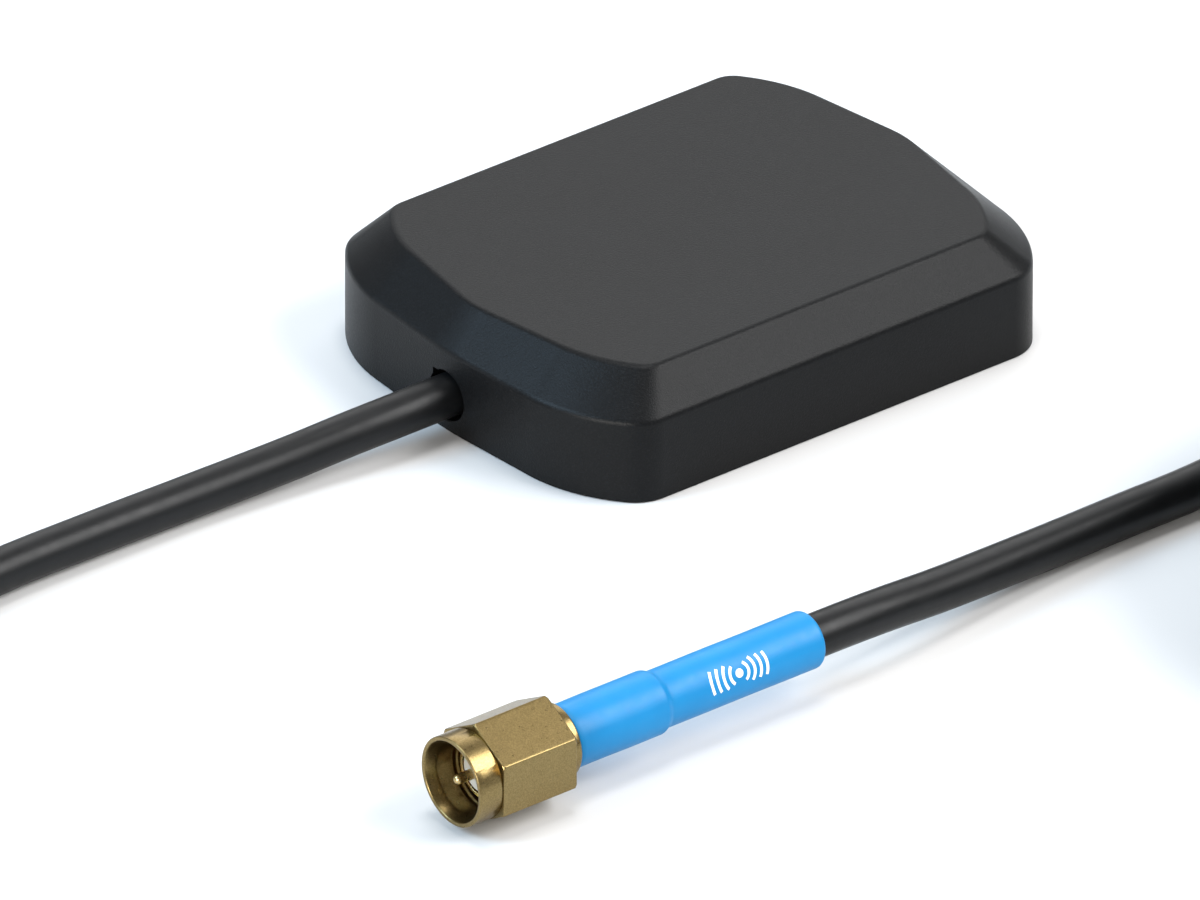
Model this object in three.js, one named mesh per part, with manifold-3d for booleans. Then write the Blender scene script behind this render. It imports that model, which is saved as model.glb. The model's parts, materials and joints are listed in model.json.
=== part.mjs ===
// Active GNSS antenna: a flat housing with a patch antenna and its amplifier inside, and a coaxial
// lead that is wound into a storage coil and ends in a screw-on plug.
// Millimetres, +Z up. The origin is the centre of the housing's underside.

import * as THREE from 'three';
import { mergeVertices } from 'three/addons/utils/BufferGeometryUtils.js';
import Module from 'manifold-3d';

const wasm = await Module();
wasm.setup();

// ---------------------------------------------------------------------------------------------
// Driving dimensions
// ---------------------------------------------------------------------------------------------

// The housing's long axis points away from its lead at this angle to +X, and the plug's axis is
// parallel to it, so that the laid-out lead fills a rectangle that is square to X and Y.
const HEADING = THREE.MathUtils.degToRad(38.5);

const GAP = 0.3; // between pieces that touch on the real object
const LAYER_GAP = 0.1; // between the thin layers inside the housing

// Outline of the housing's wall, and of the flat plate on top of it. Straight lines bound a quarter
// of it: the end, the shoulder and the long side. Each has its distance from the centre and the
// angle in degrees that it faces to, and the rounding is where it meets the line before it.
const WALL = {
  end: { distance: 25.8, facing: 3.6, rounding: 31 },
  shoulder: { distance: 28.65, facing: 41, rounding: 14.5 },
  side: { distance: 20.15, facing: 90, rounding: 3.9 },
};
const PLATE = {
  end: { distance: 22.7, facing: 9, rounding: 9.8 },
  shoulder: { distance: 24.65, facing: 37.5, rounding: 14.2 },
  side: { distance: 17.25, facing: 90, rounding: 2.2 },
};
const HOUSING_HEIGHT = 11;
const RIM_BOTTOM = 0.05; // the wall stops short of the surface, and the pad stands on it
const WALL_TOP = 7.6;
const EDGE_ROUNDING = 0.6;
const WALL_THICKNESS = 2;
const ROOF_THICKNESS = 1.5;

const PAD_TOP = 0.8;
const FLOOR_BOTTOM = 0.9;
const FLOOR_TOP = 1.7;
const LEDGE = 2.3; // the step in the wall that the seal is pressed against
const RIM_THICKNESS = 1.2; // of the wall below the ledge
const FLOOR_INSET = 1.5;
const SEAL_WIDTH = 1;
const PAD_INSET = 2.2;
const SCREW_AT = { x: 18.5, y: 14.2 };
const BOSS = { radius: 2.2, top: 8.6, bore: 0.95, boreTop: 6.8 };
const BOARD_POST = { x: 13.2, y: 13.2, radius: 1.1 };
const MAGNET_AT = { x: 19, y: 6.8 };
const MAGNET = { radius: 3.5, thickness: 2 };
const KEY_SLOT = { y0: 1.2, y1: 1.8, z0: 4.4, z1: 5.3, depth: 1.2 };

const BOARD = { length: 29, width: 30, bottom: 3.4, top: 4.4 };
const PATCH = { side: 25, bottom: 4.7, top: 8.7 };
const GROUND_SIDE = 26;
const ELECTRODE = { half: 10.5, cornerCut: 2.4, thickness: 0.1 };
const FEED_AT = 1.8; // the feed pin stands this far from the patch's centre
const FEED_HOLE = 0.8;
const FOAM = { half: 9, hole: 2 };
const SHIELD = { x0: -9, x1: 5, y0: -6, y1: 6, bottom: 2, wall: 0.25 };

const LEAD_RADIUS = 1.9;
const LEAD_EXIT_HEIGHT = 3.3;
const LEAD_HOLE_RADIUS = 2.25;
const GROMMET = { start: -23.2, end: -21, bore: 2.05, radius: 2.8 };
const CLAMP = { start: -20.2, width: 1.8, inner: 2.1, outer: 2.6 };
const CORE_RADIUS = 0.75; // the lead's inner insulation
const LEAD_FACETS = 8;
const RESTING_HEIGHT = 2; // of the lead's centreline where it lies on the surface
const LEAD_STEP = 9;

// Storage coil: layers of turns that lie beside and on each other.
const TURN_PITCH = 3.85;
const COIL = { x: 77.3, y: -40.6, innerTurn: 15.5, outerTurn: 31.2, layers: 4, bottom: 0.85 };
const TIE = { width: 3, thickness: 0.5, lowest: 0.05 };
const TIE_ANGLES = [95, 255];

// Plug: a male connector with an 8 mm hexagonal coupling nut. Its own x runs from the nut's mouth
// back along the lead.
const PLUG_MOUTH = { x: -19.9, y: -81.9, z: 4.66 };
const NUT = { acrossFlats: 8, noseRadius: 3.95, noseLength: 2.8, length: 10.4, bore: 3.2 };
const NUT_LIP = { start: 9.2, radius: 2.75 };
const RING_GROOVE = { start: 7.25, end: 8.45, radius: 3.6 };
const CONTACT_FACE = 3.2; // the plane that the mating jack's outer contact meets
const SHOULDER = { start: 10.7, end: 11.6, radius: 3.25 };
const STEM = { end: 17.5, radius: 1.55, bore: 0.95 };
const SLEEVE = { start: 11.75, step: 21.6, end: 37.8, thick: 2.8, thin: 2.5 };
const JACKET_END = 20; // the lead's jacket is cut back to here inside the sleeve
const TUBE = { bore: 2.05, nose: 2.35, radius: 2.45, groove: { start: 7, end: 8.6, radius: 2.2 } };
const SNAP_RING = { start: 7.5, end: 8.2, inner: 2.35, outer: 3.4, slit: 1 };
const PIN = { radius: 0.46, tip: 0.8, end: 9 };
const INSULATOR = { end: 9.3, bore: 0.6, radius: 1.9 };

// ---------------------------------------------------------------------------------------------
// Route of the lead
// ---------------------------------------------------------------------------------------------

// From the housing out past its near end, round the front of the layout and up to the coil.
const HOUSING_SIDE_ROUTE = [
  [-18.55, -14.75, 3.3],
  [-24.0, -19.09, 3.3],
  [-28.2, -21.9, 3.0],
  [-33.0, -24.9, 2.45],
  [-41.0, -30.3, 2.0],
  [-50.0, -37.2, 2.0],
  [-57.4, -43.2, 2.0],
  [-63.2, -49.4, 2.0],
  [-66.4, -57.4, 2.0],
  [-66.8, -66.0, 2.0],
  [-66.8, -76.0, 2.0],
  [-66.8, -86.0, 2.0],
  [-65.5, -92.2, 2.0],
  [-62.0, -97.5, 2.0],
  [-56.6, -101.0, 2.0],
  [-50.3, -102.2, 2.0],
  [-38.0, -102.2, 2.0],
  [-18.0, -102.1, 2.0],
  [4.0, -102.0, 2.0],
  [28.0, -102.2, 2.0],
  [48.0, -102.0, 2.0],
  [63.0, -98.4, 2.0],
  [75.8, -90.6, 2.0],
  [86.5, -81.6, 2.0],
  [95.4, -72.8, 2.0],
];

// The last part turn climbs the coil's outside, from the surface to the top layer.
const CLIMB = { from: -42, to: 34, steps: 9 };

// From the coil's lowest outer turn to the plug.
const PLUG_SIDE_ROUTE = [
  [44.9, -26.4, 2.2],
  [40.7, -29.8, 2.0],
  [36.4, -33.2, 2.0],
  [31.2, -37.6, 2.1],
  [25.6, -42.9, 2.6],
  [20.4, -48.2, 3.35],
  [15.9, -52.9, 4.25],
];

// ---------------------------------------------------------------------------------------------
// Materials
// ---------------------------------------------------------------------------------------------

const finish = (color, roughness, metalness = 0) =>
  new THREE.MeshStandardMaterial({ color, roughness, metalness });

const MATERIAL = {
  housing: finish(0x2f3133, 0.62),
  floor: finish(0x26282a, 0.6),
  rubber: finish(0x151617, 0.8),
  foam: finish(0x3a3d42, 0.95),
  steel: finish(0xa8abad, 0.3, 1),
  magnet: finish(0x9a9ca0, 0.25, 1),
  board: finish(0x14532f, 0.5),
  shield: finish(0xc4c8c9, 0.28, 1),
  chip: finish(0x1b1c1e, 0.55),
  passive: finish(0xb59a72, 0.5),
  silver: finish(0xd9dad6, 0.3, 1),
  ceramic: finish(0xb9a58a, 0.55),
  solder: finish(0xc9cbcd, 0.25, 1),
  jacket: finish(0x1f2022, 0.5),
  braid: finish(0xb08a58, 0.35, 1),
  dielectric: finish(0xe9e7df, 0.5),
  copper: finish(0xb66b3d, 0.3, 1),
  brass: finish(0xb79a5e, 0.33, 1),
  gold: finish(0xd2ab5a, 0.25, 1),
  ptfe: finish(0xeeece6, 0.45),
  gasket: finish(0xc2442f, 0.6),
  sleeve: finish(0x2f9bf0, 0.42),
  tie: finish(0x101112, 0.55),
};

// ---------------------------------------------------------------------------------------------
// Shape helpers
// ---------------------------------------------------------------------------------------------

// Merges shared corners and drops the triangles that have shrunk to a line.
function weld(geometry) {
  const source = geometry.clone();
  source.deleteAttribute('normal');
  source.deleteAttribute('uv');
  const merged = mergeVertices(source, 1e-4);
  const index = merged.index.array;
  const kept = [];
  for (let i = 0; i < index.length; i += 3) {
    const [a, b, c] = [index[i], index[i + 1], index[i + 2]];
    if (a !== b && b !== c && a !== c) {
      kept.push(a, b, c);
    }
  }
  merged.setIndex(kept);
  return merged;
}

function toSolid(geometry) {
  const welded = weld(geometry);
  const vertProperties = new Float32Array(welded.attributes.position.array);
  const triVerts = new Uint32Array(welded.index.array);
  return new wasm.Manifold(new wasm.Mesh({ numProp: 3, vertProperties, triVerts }));
}

function toGeometry(solid) {
  const { vertProperties, triVerts } = solid.getMesh();
  const geometry = new THREE.BufferGeometry();
  geometry.setAttribute('position', new THREE.BufferAttribute(vertProperties, 3));
  geometry.setIndex(new THREE.BufferAttribute(triVerts, 1));
  return geometry;
}

const cut = (body, ...tools) =>
  toGeometry(tools.reduce((solid, tool) => solid.subtract(toSolid(tool)), toSolid(body)));

const join = (body, ...others) =>
  toGeometry(others.reduce((solid, other) => solid.add(toSolid(other)), toSolid(body)));

function block(x0, x1, y0, y1, z0, z1) {
  const geometry = new THREE.BoxGeometry(x1 - x0, y1 - y0, z1 - z0);
  return geometry.translate((x0 + x1) / 2, (y0 + y1) / 2, (z0 + z1) / 2);
}

function post(x, y, radius, z0, z1, facets = 24) {
  const geometry = new THREE.CylinderGeometry(radius, radius, z1 - z0, facets);
  return geometry.rotateX(Math.PI / 2).translate(x, y, (z0 + z1) / 2);
}

// Rod along x, at a height above the housing's underside.
function rod(x0, x1, radius, height, facets = 24) {
  const geometry = new THREE.CylinderGeometry(radius, radius, x1 - x0, facets);
  return geometry.rotateZ(-Math.PI / 2).translate((x0 + x1) / 2, 0, height);
}

// Turned piece: a profile of [x, radius] corners that starts and ends on the axis or closes on
// itself, with the outside running towards +x, spun about the x axis.
function turned(profile, facets = 40) {
  const points = profile.map(([x, radius]) => new THREE.Vector2(radius, x));
  return new THREE.LatheGeometry(points, facets).rotateZ(-Math.PI / 2);
}

// Ring of rectangular section about the x axis.
function ring(x0, x1, inner, outer, facets = 40) {
  return turned([[x0, inner], [x0, outer], [x1, outer], [x1, inner], [x0, inner]], facets);
}

// Point where two lines meet. Each line has its distance from the centre and its facing angle.
function crossing([distanceA, angleA], [distanceB, angleB]) {
  const turn = Math.sin(angleB - angleA);
  return new THREE.Vector2(
    (distanceA * Math.sin(angleB) - distanceB * Math.sin(angleA)) / turn,
    (distanceB * Math.cos(angleA) - distanceA * Math.cos(angleB)) / turn);
}

const ROUNDING_STEPS = 5;
const LEAST_ROUNDING = 0.6;

// Outline of the housing's wall or plate, moved inwards by the inset. Every outline has the same
// number of points in the same order, so two of them can be lofted.
function outline({ end, shoulder, side }, inset = 0) {
  const line = ({ distance, facing }, sign) =>
    [distance - inset, sign * THREE.MathUtils.degToRad(facing)];
  const mirrored = [side, shoulder, end].map((part) => line(part, -1));
  const lines = [...mirrored, line(end, 1), line(shoulder, 1), line(side, 1)];
  const roundings = [side, shoulder, end, shoulder, side].map(({ rounding }) =>
    Math.max(rounding - inset, LEAST_ROUNDING));
  const half = [];
  roundings.forEach((radius, i) => {
    const [from, to] = [lines[i][1], lines[i + 1][1]];
    const middle = (from + to) / 2;
    const reach = radius / Math.cos((to - from) / 2);
    const inwards = new THREE.Vector2(-Math.cos(middle), -Math.sin(middle)).setLength(reach);
    const centre = crossing(lines[i], lines[i + 1]).add(inwards);
    for (let step = 0; step <= ROUNDING_STEPS; step++) {
      const angle = THREE.MathUtils.lerp(from, to, step / ROUNDING_STEPS);
      const away = new THREE.Vector2(Math.cos(angle), Math.sin(angle)).setLength(radius);
      half.push(centre.clone().add(away));
    }
  });
  return [...half, ...half.map((point) => point.clone().negate())];
}

const blend = (from, to, amount) => from.map((point, i) => point.clone().lerp(to[i], amount));

// Closed body through a stack of outlines, lowest first.
function loft(levels) {
  const count = levels[0].points.length;
  const positions = levels.flatMap(({ points, z }) => points.flatMap((p) => [p.x, p.y, z]));
  const index = [];
  for (let level = 0; level + 1 < levels.length; level++) {
    for (let i = 0; i < count; i++) {
      const a = level * count + i;
      const b = level * count + ((i + 1) % count);
      index.push(a, b, b + count, a, b + count, a + count);
    }
  }
  const top = (levels.length - 1) * count;
  for (const [a, b, c] of THREE.ShapeUtils.triangulateShape(levels[0].points, [])) {
    index.push(c, b, a);
  }
  for (const [a, b, c] of THREE.ShapeUtils.triangulateShape(levels.at(-1).points, [])) {
    index.push(top + a, top + b, top + c);
  }
  const geometry = new THREE.BufferGeometry();
  geometry.setAttribute('position', new THREE.Float32BufferAttribute(positions, 3));
  geometry.setIndex(index);
  return geometry;
}

const slab = (size, inset, z0, z1) =>
  loft([{ points: outline(size, inset), z: z0 }, { points: outline(size, inset), z: z1 }]);

function mesh(name, geometry, material) {
  const piece = new THREE.Mesh(weld(geometry), material);
  piece.name = name;
  return piece;
}

const FOUR_CORNERS = [[1, 1], [-1, 1], [-1, -1], [1, -1]];

// ---------------------------------------------------------------------------------------------
// Housing
// ---------------------------------------------------------------------------------------------

function topHousing() {
  const wall = outline(WALL);
  const plate = outline(PLATE);
  const slope = HOUSING_HEIGHT - WALL_TOP;
  const rounding = EDGE_ROUNDING / slope;
  const shell = loft([
    { points: wall, z: RIM_BOTTOM },
    { points: wall, z: WALL_TOP - EDGE_ROUNDING },
    { points: blend(wall, plate, rounding / 4), z: WALL_TOP + EDGE_ROUNDING / 12 },
    { points: blend(wall, plate, rounding), z: WALL_TOP + EDGE_ROUNDING },
    { points: blend(wall, plate, 1 - rounding), z: HOUSING_HEIGHT - EDGE_ROUNDING },
    { points: blend(wall, plate, 1), z: HOUSING_HEIGHT - EDGE_ROUNDING / 5 },
    { points: outline(PLATE, EDGE_ROUNDING), z: HOUSING_HEIGHT },
  ]);
  const cavity = loft([
    { points: outline(WALL, WALL_THICKNESS), z: LEDGE - GAP },
    { points: outline(WALL, WALL_THICKNESS), z: WALL_TOP - 1 },
    { points: outline(PLATE, WALL_THICKNESS - GAP), z: HOUSING_HEIGHT - ROOF_THICKNESS },
  ]);
  const floorSeat = slab(WALL, RIM_THICKNESS, RIM_BOTTOM - 1, LEDGE);
  const hollow = cut(shell, cavity, floorSeat);
  const bosses = FOUR_CORNERS.map(([sx, sy]) =>
    post(sx * SCREW_AT.x, sy * SCREW_AT.y, BOSS.radius, FLOOR_TOP + GAP, BOSS.top));
  const pilots = FOUR_CORNERS.map(([sx, sy]) =>
    post(sx * SCREW_AT.x, sy * SCREW_AT.y, BOSS.bore, 0, BOSS.boreTop));
  const nearEnd = -WALL.end.distance;
  const pastWall = nearEnd + 2 * WALL_THICKNESS;
  const leadHole = rod(nearEnd - 1, pastWall, LEAD_HOLE_RADIUS, LEAD_EXIT_HEIGHT, 40);
  const { y0, y1, z0, z1, depth } = KEY_SLOT;
  const keySlot = block(nearEnd - 1, nearEnd + depth, y0, y1, z0, z1);
  return cut(join(hollow, ...bosses), ...pilots, leadHole, keySlot);
}

function basePlate() {
  const plate = slab(WALL, FLOOR_INSET, FLOOR_BOTTOM, FLOOR_TOP);
  const { x, y, radius } = BOARD_POST;
  const posts = FOUR_CORNERS.map(([sx, sy]) =>
    post(sx * x, sy * y, radius, FLOOR_TOP - LAYER_GAP, BOARD.bottom - LAYER_GAP));
  const sinks = FOUR_CORNERS.map(([sx, sy]) => {
    const profile = [[0.6, 0], [0.6, 2.1], [2, 0.95], [2, 0]];
    return turned(profile, 24).rotateY(-Math.PI / 2).translate(sx * SCREW_AT.x, sy * SCREW_AT.y, 0);
  });
  const clear = GROMMET.radius + GAP;
  const grommetNotch = block(-WALL.end.distance, GROMMET.end + GAP, -clear, clear, 0, LEDGE);
  const leadNotch = block(GROMMET.end, -17.8, -LEAD_HOLE_RADIUS, LEAD_HOLE_RADIUS, 0, LEDGE);
  return cut(join(plate, ...posts), ...sinks, grommetNotch, leadNotch);
}

function sealRing() {
  const band = slab(WALL, FLOOR_INSET, FLOOR_TOP + LAYER_GAP, LEDGE - LAYER_GAP);
  const inside = slab(WALL, FLOOR_INSET + SEAL_WIDTH, 0, LEDGE + 1);
  const clear = GROMMET.radius + GAP;
  const leadOpening = block(-WALL.end.distance, GROMMET.end, -clear, clear, 0, LEDGE + 1);
  return cut(band, inside, leadOpening);
}

function baseScrew() {
  const profile = [[1, 0], [1, 1.6], [1.7, 0.75], [5.8, 0.75], [6.3, 0.3], [6.3, 0]];
  const driveSlot = block(-0.5, 1.25, -1.3, 1.3, -0.2, 0.2);
  return cut(turned(profile, 24), driveSlot).rotateY(-Math.PI / 2);
}

function housingPieces() {
  const group = new THREE.Group();
  group.add(mesh('top_housing', topHousing(), MATERIAL.housing));
  group.add(mesh('base_plate', basePlate(), MATERIAL.floor));
  group.add(mesh('seal_ring', sealRing(), MATERIAL.rubber));
  group.add(mesh('bottom_pad', slab(WALL, PAD_INSET, 0, PAD_TOP), MATERIAL.rubber));
  FOUR_CORNERS.forEach(([sx, sy], i) => {
    const screw = mesh(`base_screw_${i + 1}`, baseScrew(), MATERIAL.steel);
    screw.position.set(sx * SCREW_AT.x, sy * SCREW_AT.y, 0);
    group.add(screw);
    const bottom = FLOOR_TOP + LAYER_GAP;
    const disc = post(0, 0, MAGNET.radius, bottom, bottom + MAGNET.thickness, 32);
    const magnet = mesh(`magnet_${i + 1}`, disc, MATERIAL.magnet);
    magnet.position.set(sx * MAGNET_AT.x, sy * MAGNET_AT.y, 0);
    group.add(magnet);
  });
  return group;
}

// ---------------------------------------------------------------------------------------------
// Antenna and amplifier
// ---------------------------------------------------------------------------------------------

// Square plate with a hole for the feed pin.
function drilledPlate(side, z0, z1) {
  const half = side / 2;
  return cut(block(-half, half, -half, half, z0, z1), post(FEED_AT, 0, FEED_HOLE, z0 - 1, z1 + 1));
}

// The radiating patch has one corner cut off, which makes it circularly polarised.
function patchElectrode() {
  const { half, cornerCut, thickness } = ELECTRODE;
  const shape = new THREE.Shape([
    new THREE.Vector2(-half, -half),
    new THREE.Vector2(half, -half),
    new THREE.Vector2(half, half - cornerCut),
    new THREE.Vector2(half - cornerCut, half),
    new THREE.Vector2(-half, half),
  ]);
  const plate = new THREE.ExtrudeGeometry(shape, { depth: thickness, bevelEnabled: false });
  plate.translate(0, 0, PATCH.top + thickness / 2);
  return cut(plate, post(FEED_AT, 0, FEED_HOLE, PATCH.top - 1, PATCH.top + 1));
}

function feedPin() {
  const foot = 2.9;
  const head = PATCH.top + 0.25;
  const radius = 0.5;
  const profile = [
    [foot, 0], [foot, radius], [head, radius], [head, 1.2], [head + 0.15, 0.8], [head + 0.2, 0],
  ];
  return turned(profile, 20).rotateY(-Math.PI / 2).translate(FEED_AT, 0, 0);
}

function foamPad() {
  const { half, hole } = FOAM;
  const bottom = PATCH.top + 0.25;
  const top = HOUSING_HEIGHT - ROOF_THICKNESS - LAYER_GAP;
  const sheet = block(-half, half, -half, half, bottom, top);
  return cut(sheet, post(FEED_AT, 0, hole, PATCH.top, HOUSING_HEIGHT));
}

function shieldCan() {
  const { x0, x1, y0, y1, bottom, wall } = SHIELD;
  const outside = block(x0, x1, y0, y1, bottom, BOARD.bottom - LAYER_GAP);
  const inside = block(x0 + wall, x1 - wall, y0 + wall, y1 - wall, bottom + wall, BOARD.bottom + 1);
  return cut(outside, inside);
}

// Surface-mounted parts hang under the board, inside the shield can.
const BOARD_PARTS = [
  { name: 'amplifier_chip', x: -5.2, y: 1.6, size: [2.2, 2.2, 0.8], look: MATERIAL.chip },
  { name: 'filter_chip', x: -0.6, y: -3, size: [3, 2.6, 0.9], look: MATERIAL.passive },
  { name: 'bias_choke', x: -5.2, y: -3, size: [2, 1.2, 0.9], look: MATERIAL.chip },
  { name: 'bypass_capacitor_1', x: 3, y: 3.4, size: [1.6, 0.8, 0.8], look: MATERIAL.passive },
  { name: 'bypass_capacitor_2', x: -1.6, y: 3.4, size: [1.6, 0.8, 0.8], look: MATERIAL.passive },
];

function boardPart({ x, y, size: [length, width, height] }) {
  const top = BOARD.bottom - LAYER_GAP;
  return block(x - length / 2, x + length / 2, y - width / 2, y + width / 2, top - height, top);
}

function amplifierBoard() {
  const { length, width, bottom, top } = BOARD;
  const sheet = block(-length / 2, length / 2, -width / 2, width / 2, bottom, top);
  return cut(sheet, post(FEED_AT, 0, FEED_HOLE, bottom - 1, top + 1));
}

function antennaPieces() {
  const group = new THREE.Group();
  const groundBottom = BOARD.top + LAYER_GAP;
  const ground = drilledPlate(GROUND_SIDE, groundBottom, groundBottom + ELECTRODE.thickness);
  const ceramic = drilledPlate(PATCH.side, PATCH.bottom, PATCH.top);
  group.add(mesh('amplifier_board', amplifierBoard(), MATERIAL.board));
  group.add(mesh('shield_can', shieldCan(), MATERIAL.shield));
  for (const part of BOARD_PARTS) {
    group.add(mesh(part.name, boardPart(part), part.look));
  }
  group.add(mesh('ground_electrode', ground, MATERIAL.silver));
  group.add(mesh('patch_ceramic', ceramic, MATERIAL.ceramic));
  group.add(mesh('patch_electrode', patchElectrode(), MATERIAL.silver));
  group.add(mesh('feed_pin', feedPin(), MATERIAL.solder));
  group.add(mesh('foam_pad', foamPad(), MATERIAL.foam));
  return group;
}

// ---------------------------------------------------------------------------------------------
// Lead entry, inside the housing
// ---------------------------------------------------------------------------------------------

function leadGrommet() {
  const { start, end, bore, radius } = GROMMET;
  const body = ring(start, end, bore, radius, 24).translate(0, 0, LEAD_EXIT_HEIGHT);
  return cut(body, block(start - 1, end + 1, -4, 4, -1, FLOOR_BOTTOM + LAYER_GAP));
}

// Strap over the lead's jacket, which takes the pull on the lead.
function leadClamp() {
  const { start, width, inner, outer } = CLAMP;
  const foot = FLOOR_TOP + GAP;
  const shape = new THREE.Shape();
  shape.moveTo(outer, foot);
  shape.lineTo(outer, LEAD_EXIT_HEIGHT);
  shape.absarc(0, LEAD_EXIT_HEIGHT, outer, 0, Math.PI, false);
  shape.lineTo(-outer, foot);
  shape.lineTo(-inner, foot);
  shape.lineTo(-inner, LEAD_EXIT_HEIGHT);
  shape.absarc(0, LEAD_EXIT_HEIGHT, inner, Math.PI, 0, true);
  shape.lineTo(inner, foot);
  const options = { depth: width, bevelEnabled: false, curveSegments: 12 };
  const strap = new THREE.ExtrudeGeometry(shape, options);
  return strap.rotateY(Math.PI / 2).rotateX(Math.PI / 2).translate(start, 0, 0);
}

function leadConductor() {
  const path = new THREE.CatmullRomCurve3([
    new THREE.Vector3(-15.2, 0, LEAD_EXIT_HEIGHT),
    new THREE.Vector3(-14.8, 0, 3.02),
    new THREE.Vector3(-14.2, 0, 2.98),
    new THREE.Vector3(-12.4, 0, 2.98),
  ]);
  return sweep(path, 0.22, 6, 10);
}

function leadEntryPieces() {
  const group = new THREE.Group();
  const height = LEAD_EXIT_HEIGHT;
  group.add(mesh('lead_grommet', leadGrommet(), MATERIAL.rubber));
  group.add(mesh('lead_clamp', leadClamp(), MATERIAL.steel));
  group.add(mesh('lead_jacket_end', rod(-23.4, -18, LEAD_RADIUS, height), MATERIAL.jacket));
  group.add(mesh('lead_braid_end', rod(-17.7, -16.4, 1.2, height), MATERIAL.braid));
  const coreEnd = rod(-16.1, -15.5, CORE_RADIUS, height);
  group.add(mesh('lead_dielectric_end', coreEnd, MATERIAL.dielectric));
  group.add(mesh('lead_conductor_end', leadConductor(), MATERIAL.copper));
  return group;
}

// ---------------------------------------------------------------------------------------------
// Lead
// ---------------------------------------------------------------------------------------------

// Round bar along a curve, with flat ends.
function sweep(path, radius, facets, steps) {
  const section = new THREE.Shape();
  for (let i = 0; i < facets; i++) {
    const angle = (i / facets) * 2 * Math.PI;
    const draw = i === 0 ? 'moveTo' : 'lineTo';
    section[draw](radius * Math.cos(angle), radius * Math.sin(angle));
  }
  return new THREE.ExtrudeGeometry(section, { steps, extrudePath: path });
}

function leadTube(points) {
  const path = new THREE.CatmullRomCurve3(points, false, 'centripetal');
  return sweep(path, LEAD_RADIUS, LEAD_FACETS, Math.ceil(path.getLength() / LEAD_STEP));
}

const vector = ([x, y, z]) => new THREE.Vector3(x, y, z);

// The climbing part turn lies against the coil's outermost turn.
function climbPoints() {
  const radius = COIL.outerTurn + TURN_PITCH + GAP;
  const topTurn = COIL.bottom + (COIL.layers - 0.5) * TURN_PITCH;
  const points = [];
  for (let i = 0; i <= CLIMB.steps; i++) {
    const part = i / CLIMB.steps;
    const angle = THREE.MathUtils.degToRad(THREE.MathUtils.lerp(CLIMB.from, CLIMB.to, part));
    const rise = THREE.MathUtils.smoothstep(part, 0, 1);
    const height = THREE.MathUtils.lerp(RESTING_HEIGHT, topTurn, rise);
    points.push(new THREE.Vector3(
      COIL.x + radius * Math.cos(angle), COIL.y + radius * Math.sin(angle), height));
  }
  return points;
}

// A point on the plug's axis, in the object's frame.
function onPlugAxis(x) {
  return new THREE.Vector3(
    PLUG_MOUTH.x + x * Math.cos(HEADING), PLUG_MOUTH.y + x * Math.sin(HEADING), PLUG_MOUTH.z);
}

// Closed ring with the coil's outer shape, its edges rounded by the lead's own radius.
function coilRing() {
  const inner = COIL.innerTurn - TURN_PITCH / 2;
  const outer = COIL.outerTurn + TURN_PITCH / 2;
  const bottom = COIL.bottom;
  const top = bottom + COIL.layers * TURN_PITCH;
  const soft = 1;
  const profile = [
    [inner + soft, bottom], [outer - soft, bottom], [outer, bottom + soft], [outer, top - soft],
    [outer - soft, top], [inner + soft, top], [inner, top - soft], [inner, bottom + soft],
    [inner + soft, bottom],
  ];
  const points = profile.map(([radius, z]) => new THREE.Vector2(radius, z));
  return new THREE.LatheGeometry(points, 64).rotateX(Math.PI / 2).translate(COIL.x, COIL.y, 0);
}

// Flat strap that goes once round the coil's section.
function coilTie(angle) {
  const inner = COIL.innerTurn - TURN_PITCH / 2 - GAP;
  const outer = COIL.outerTurn + TURN_PITCH / 2 + GAP;
  const bottom = TIE.lowest + TIE.thickness;
  const top = COIL.bottom + COIL.layers * TURN_PITCH + GAP;
  const t = TIE.thickness;
  const half = TIE.width / 2;
  const loop = cut(
    block(inner - t, outer + t, -half, half, bottom - t, top + t),
    block(inner, outer, -half - 1, half + 1, bottom, top));
  return loop.rotateZ(angle).translate(COIL.x, COIL.y, 0);
}

function leadPieces() {
  const group = new THREE.Group();
  const housingSide = [...HOUSING_SIDE_ROUTE.map(vector), ...climbPoints()];
  const alongPlug = [41, 34, 27, JACKET_END].map(onPlugAxis);
  const plugSide = [...PLUG_SIDE_ROUTE.map(vector), ...alongPlug];
  group.add(mesh('lead_housing_side', leadTube(housingSide), MATERIAL.jacket));
  group.add(mesh('lead_coil', coilRing(), MATERIAL.jacket));
  group.add(mesh('lead_plug_side', leadTube(plugSide), MATERIAL.jacket));
  TIE_ANGLES.forEach((angle, i) => {
    group.add(mesh(`coil_tie_${i + 1}`, coilTie(THREE.MathUtils.degToRad(angle)), MATERIAL.tie));
  });
  return group;
}

// ---------------------------------------------------------------------------------------------
// Plug
// ---------------------------------------------------------------------------------------------

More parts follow.
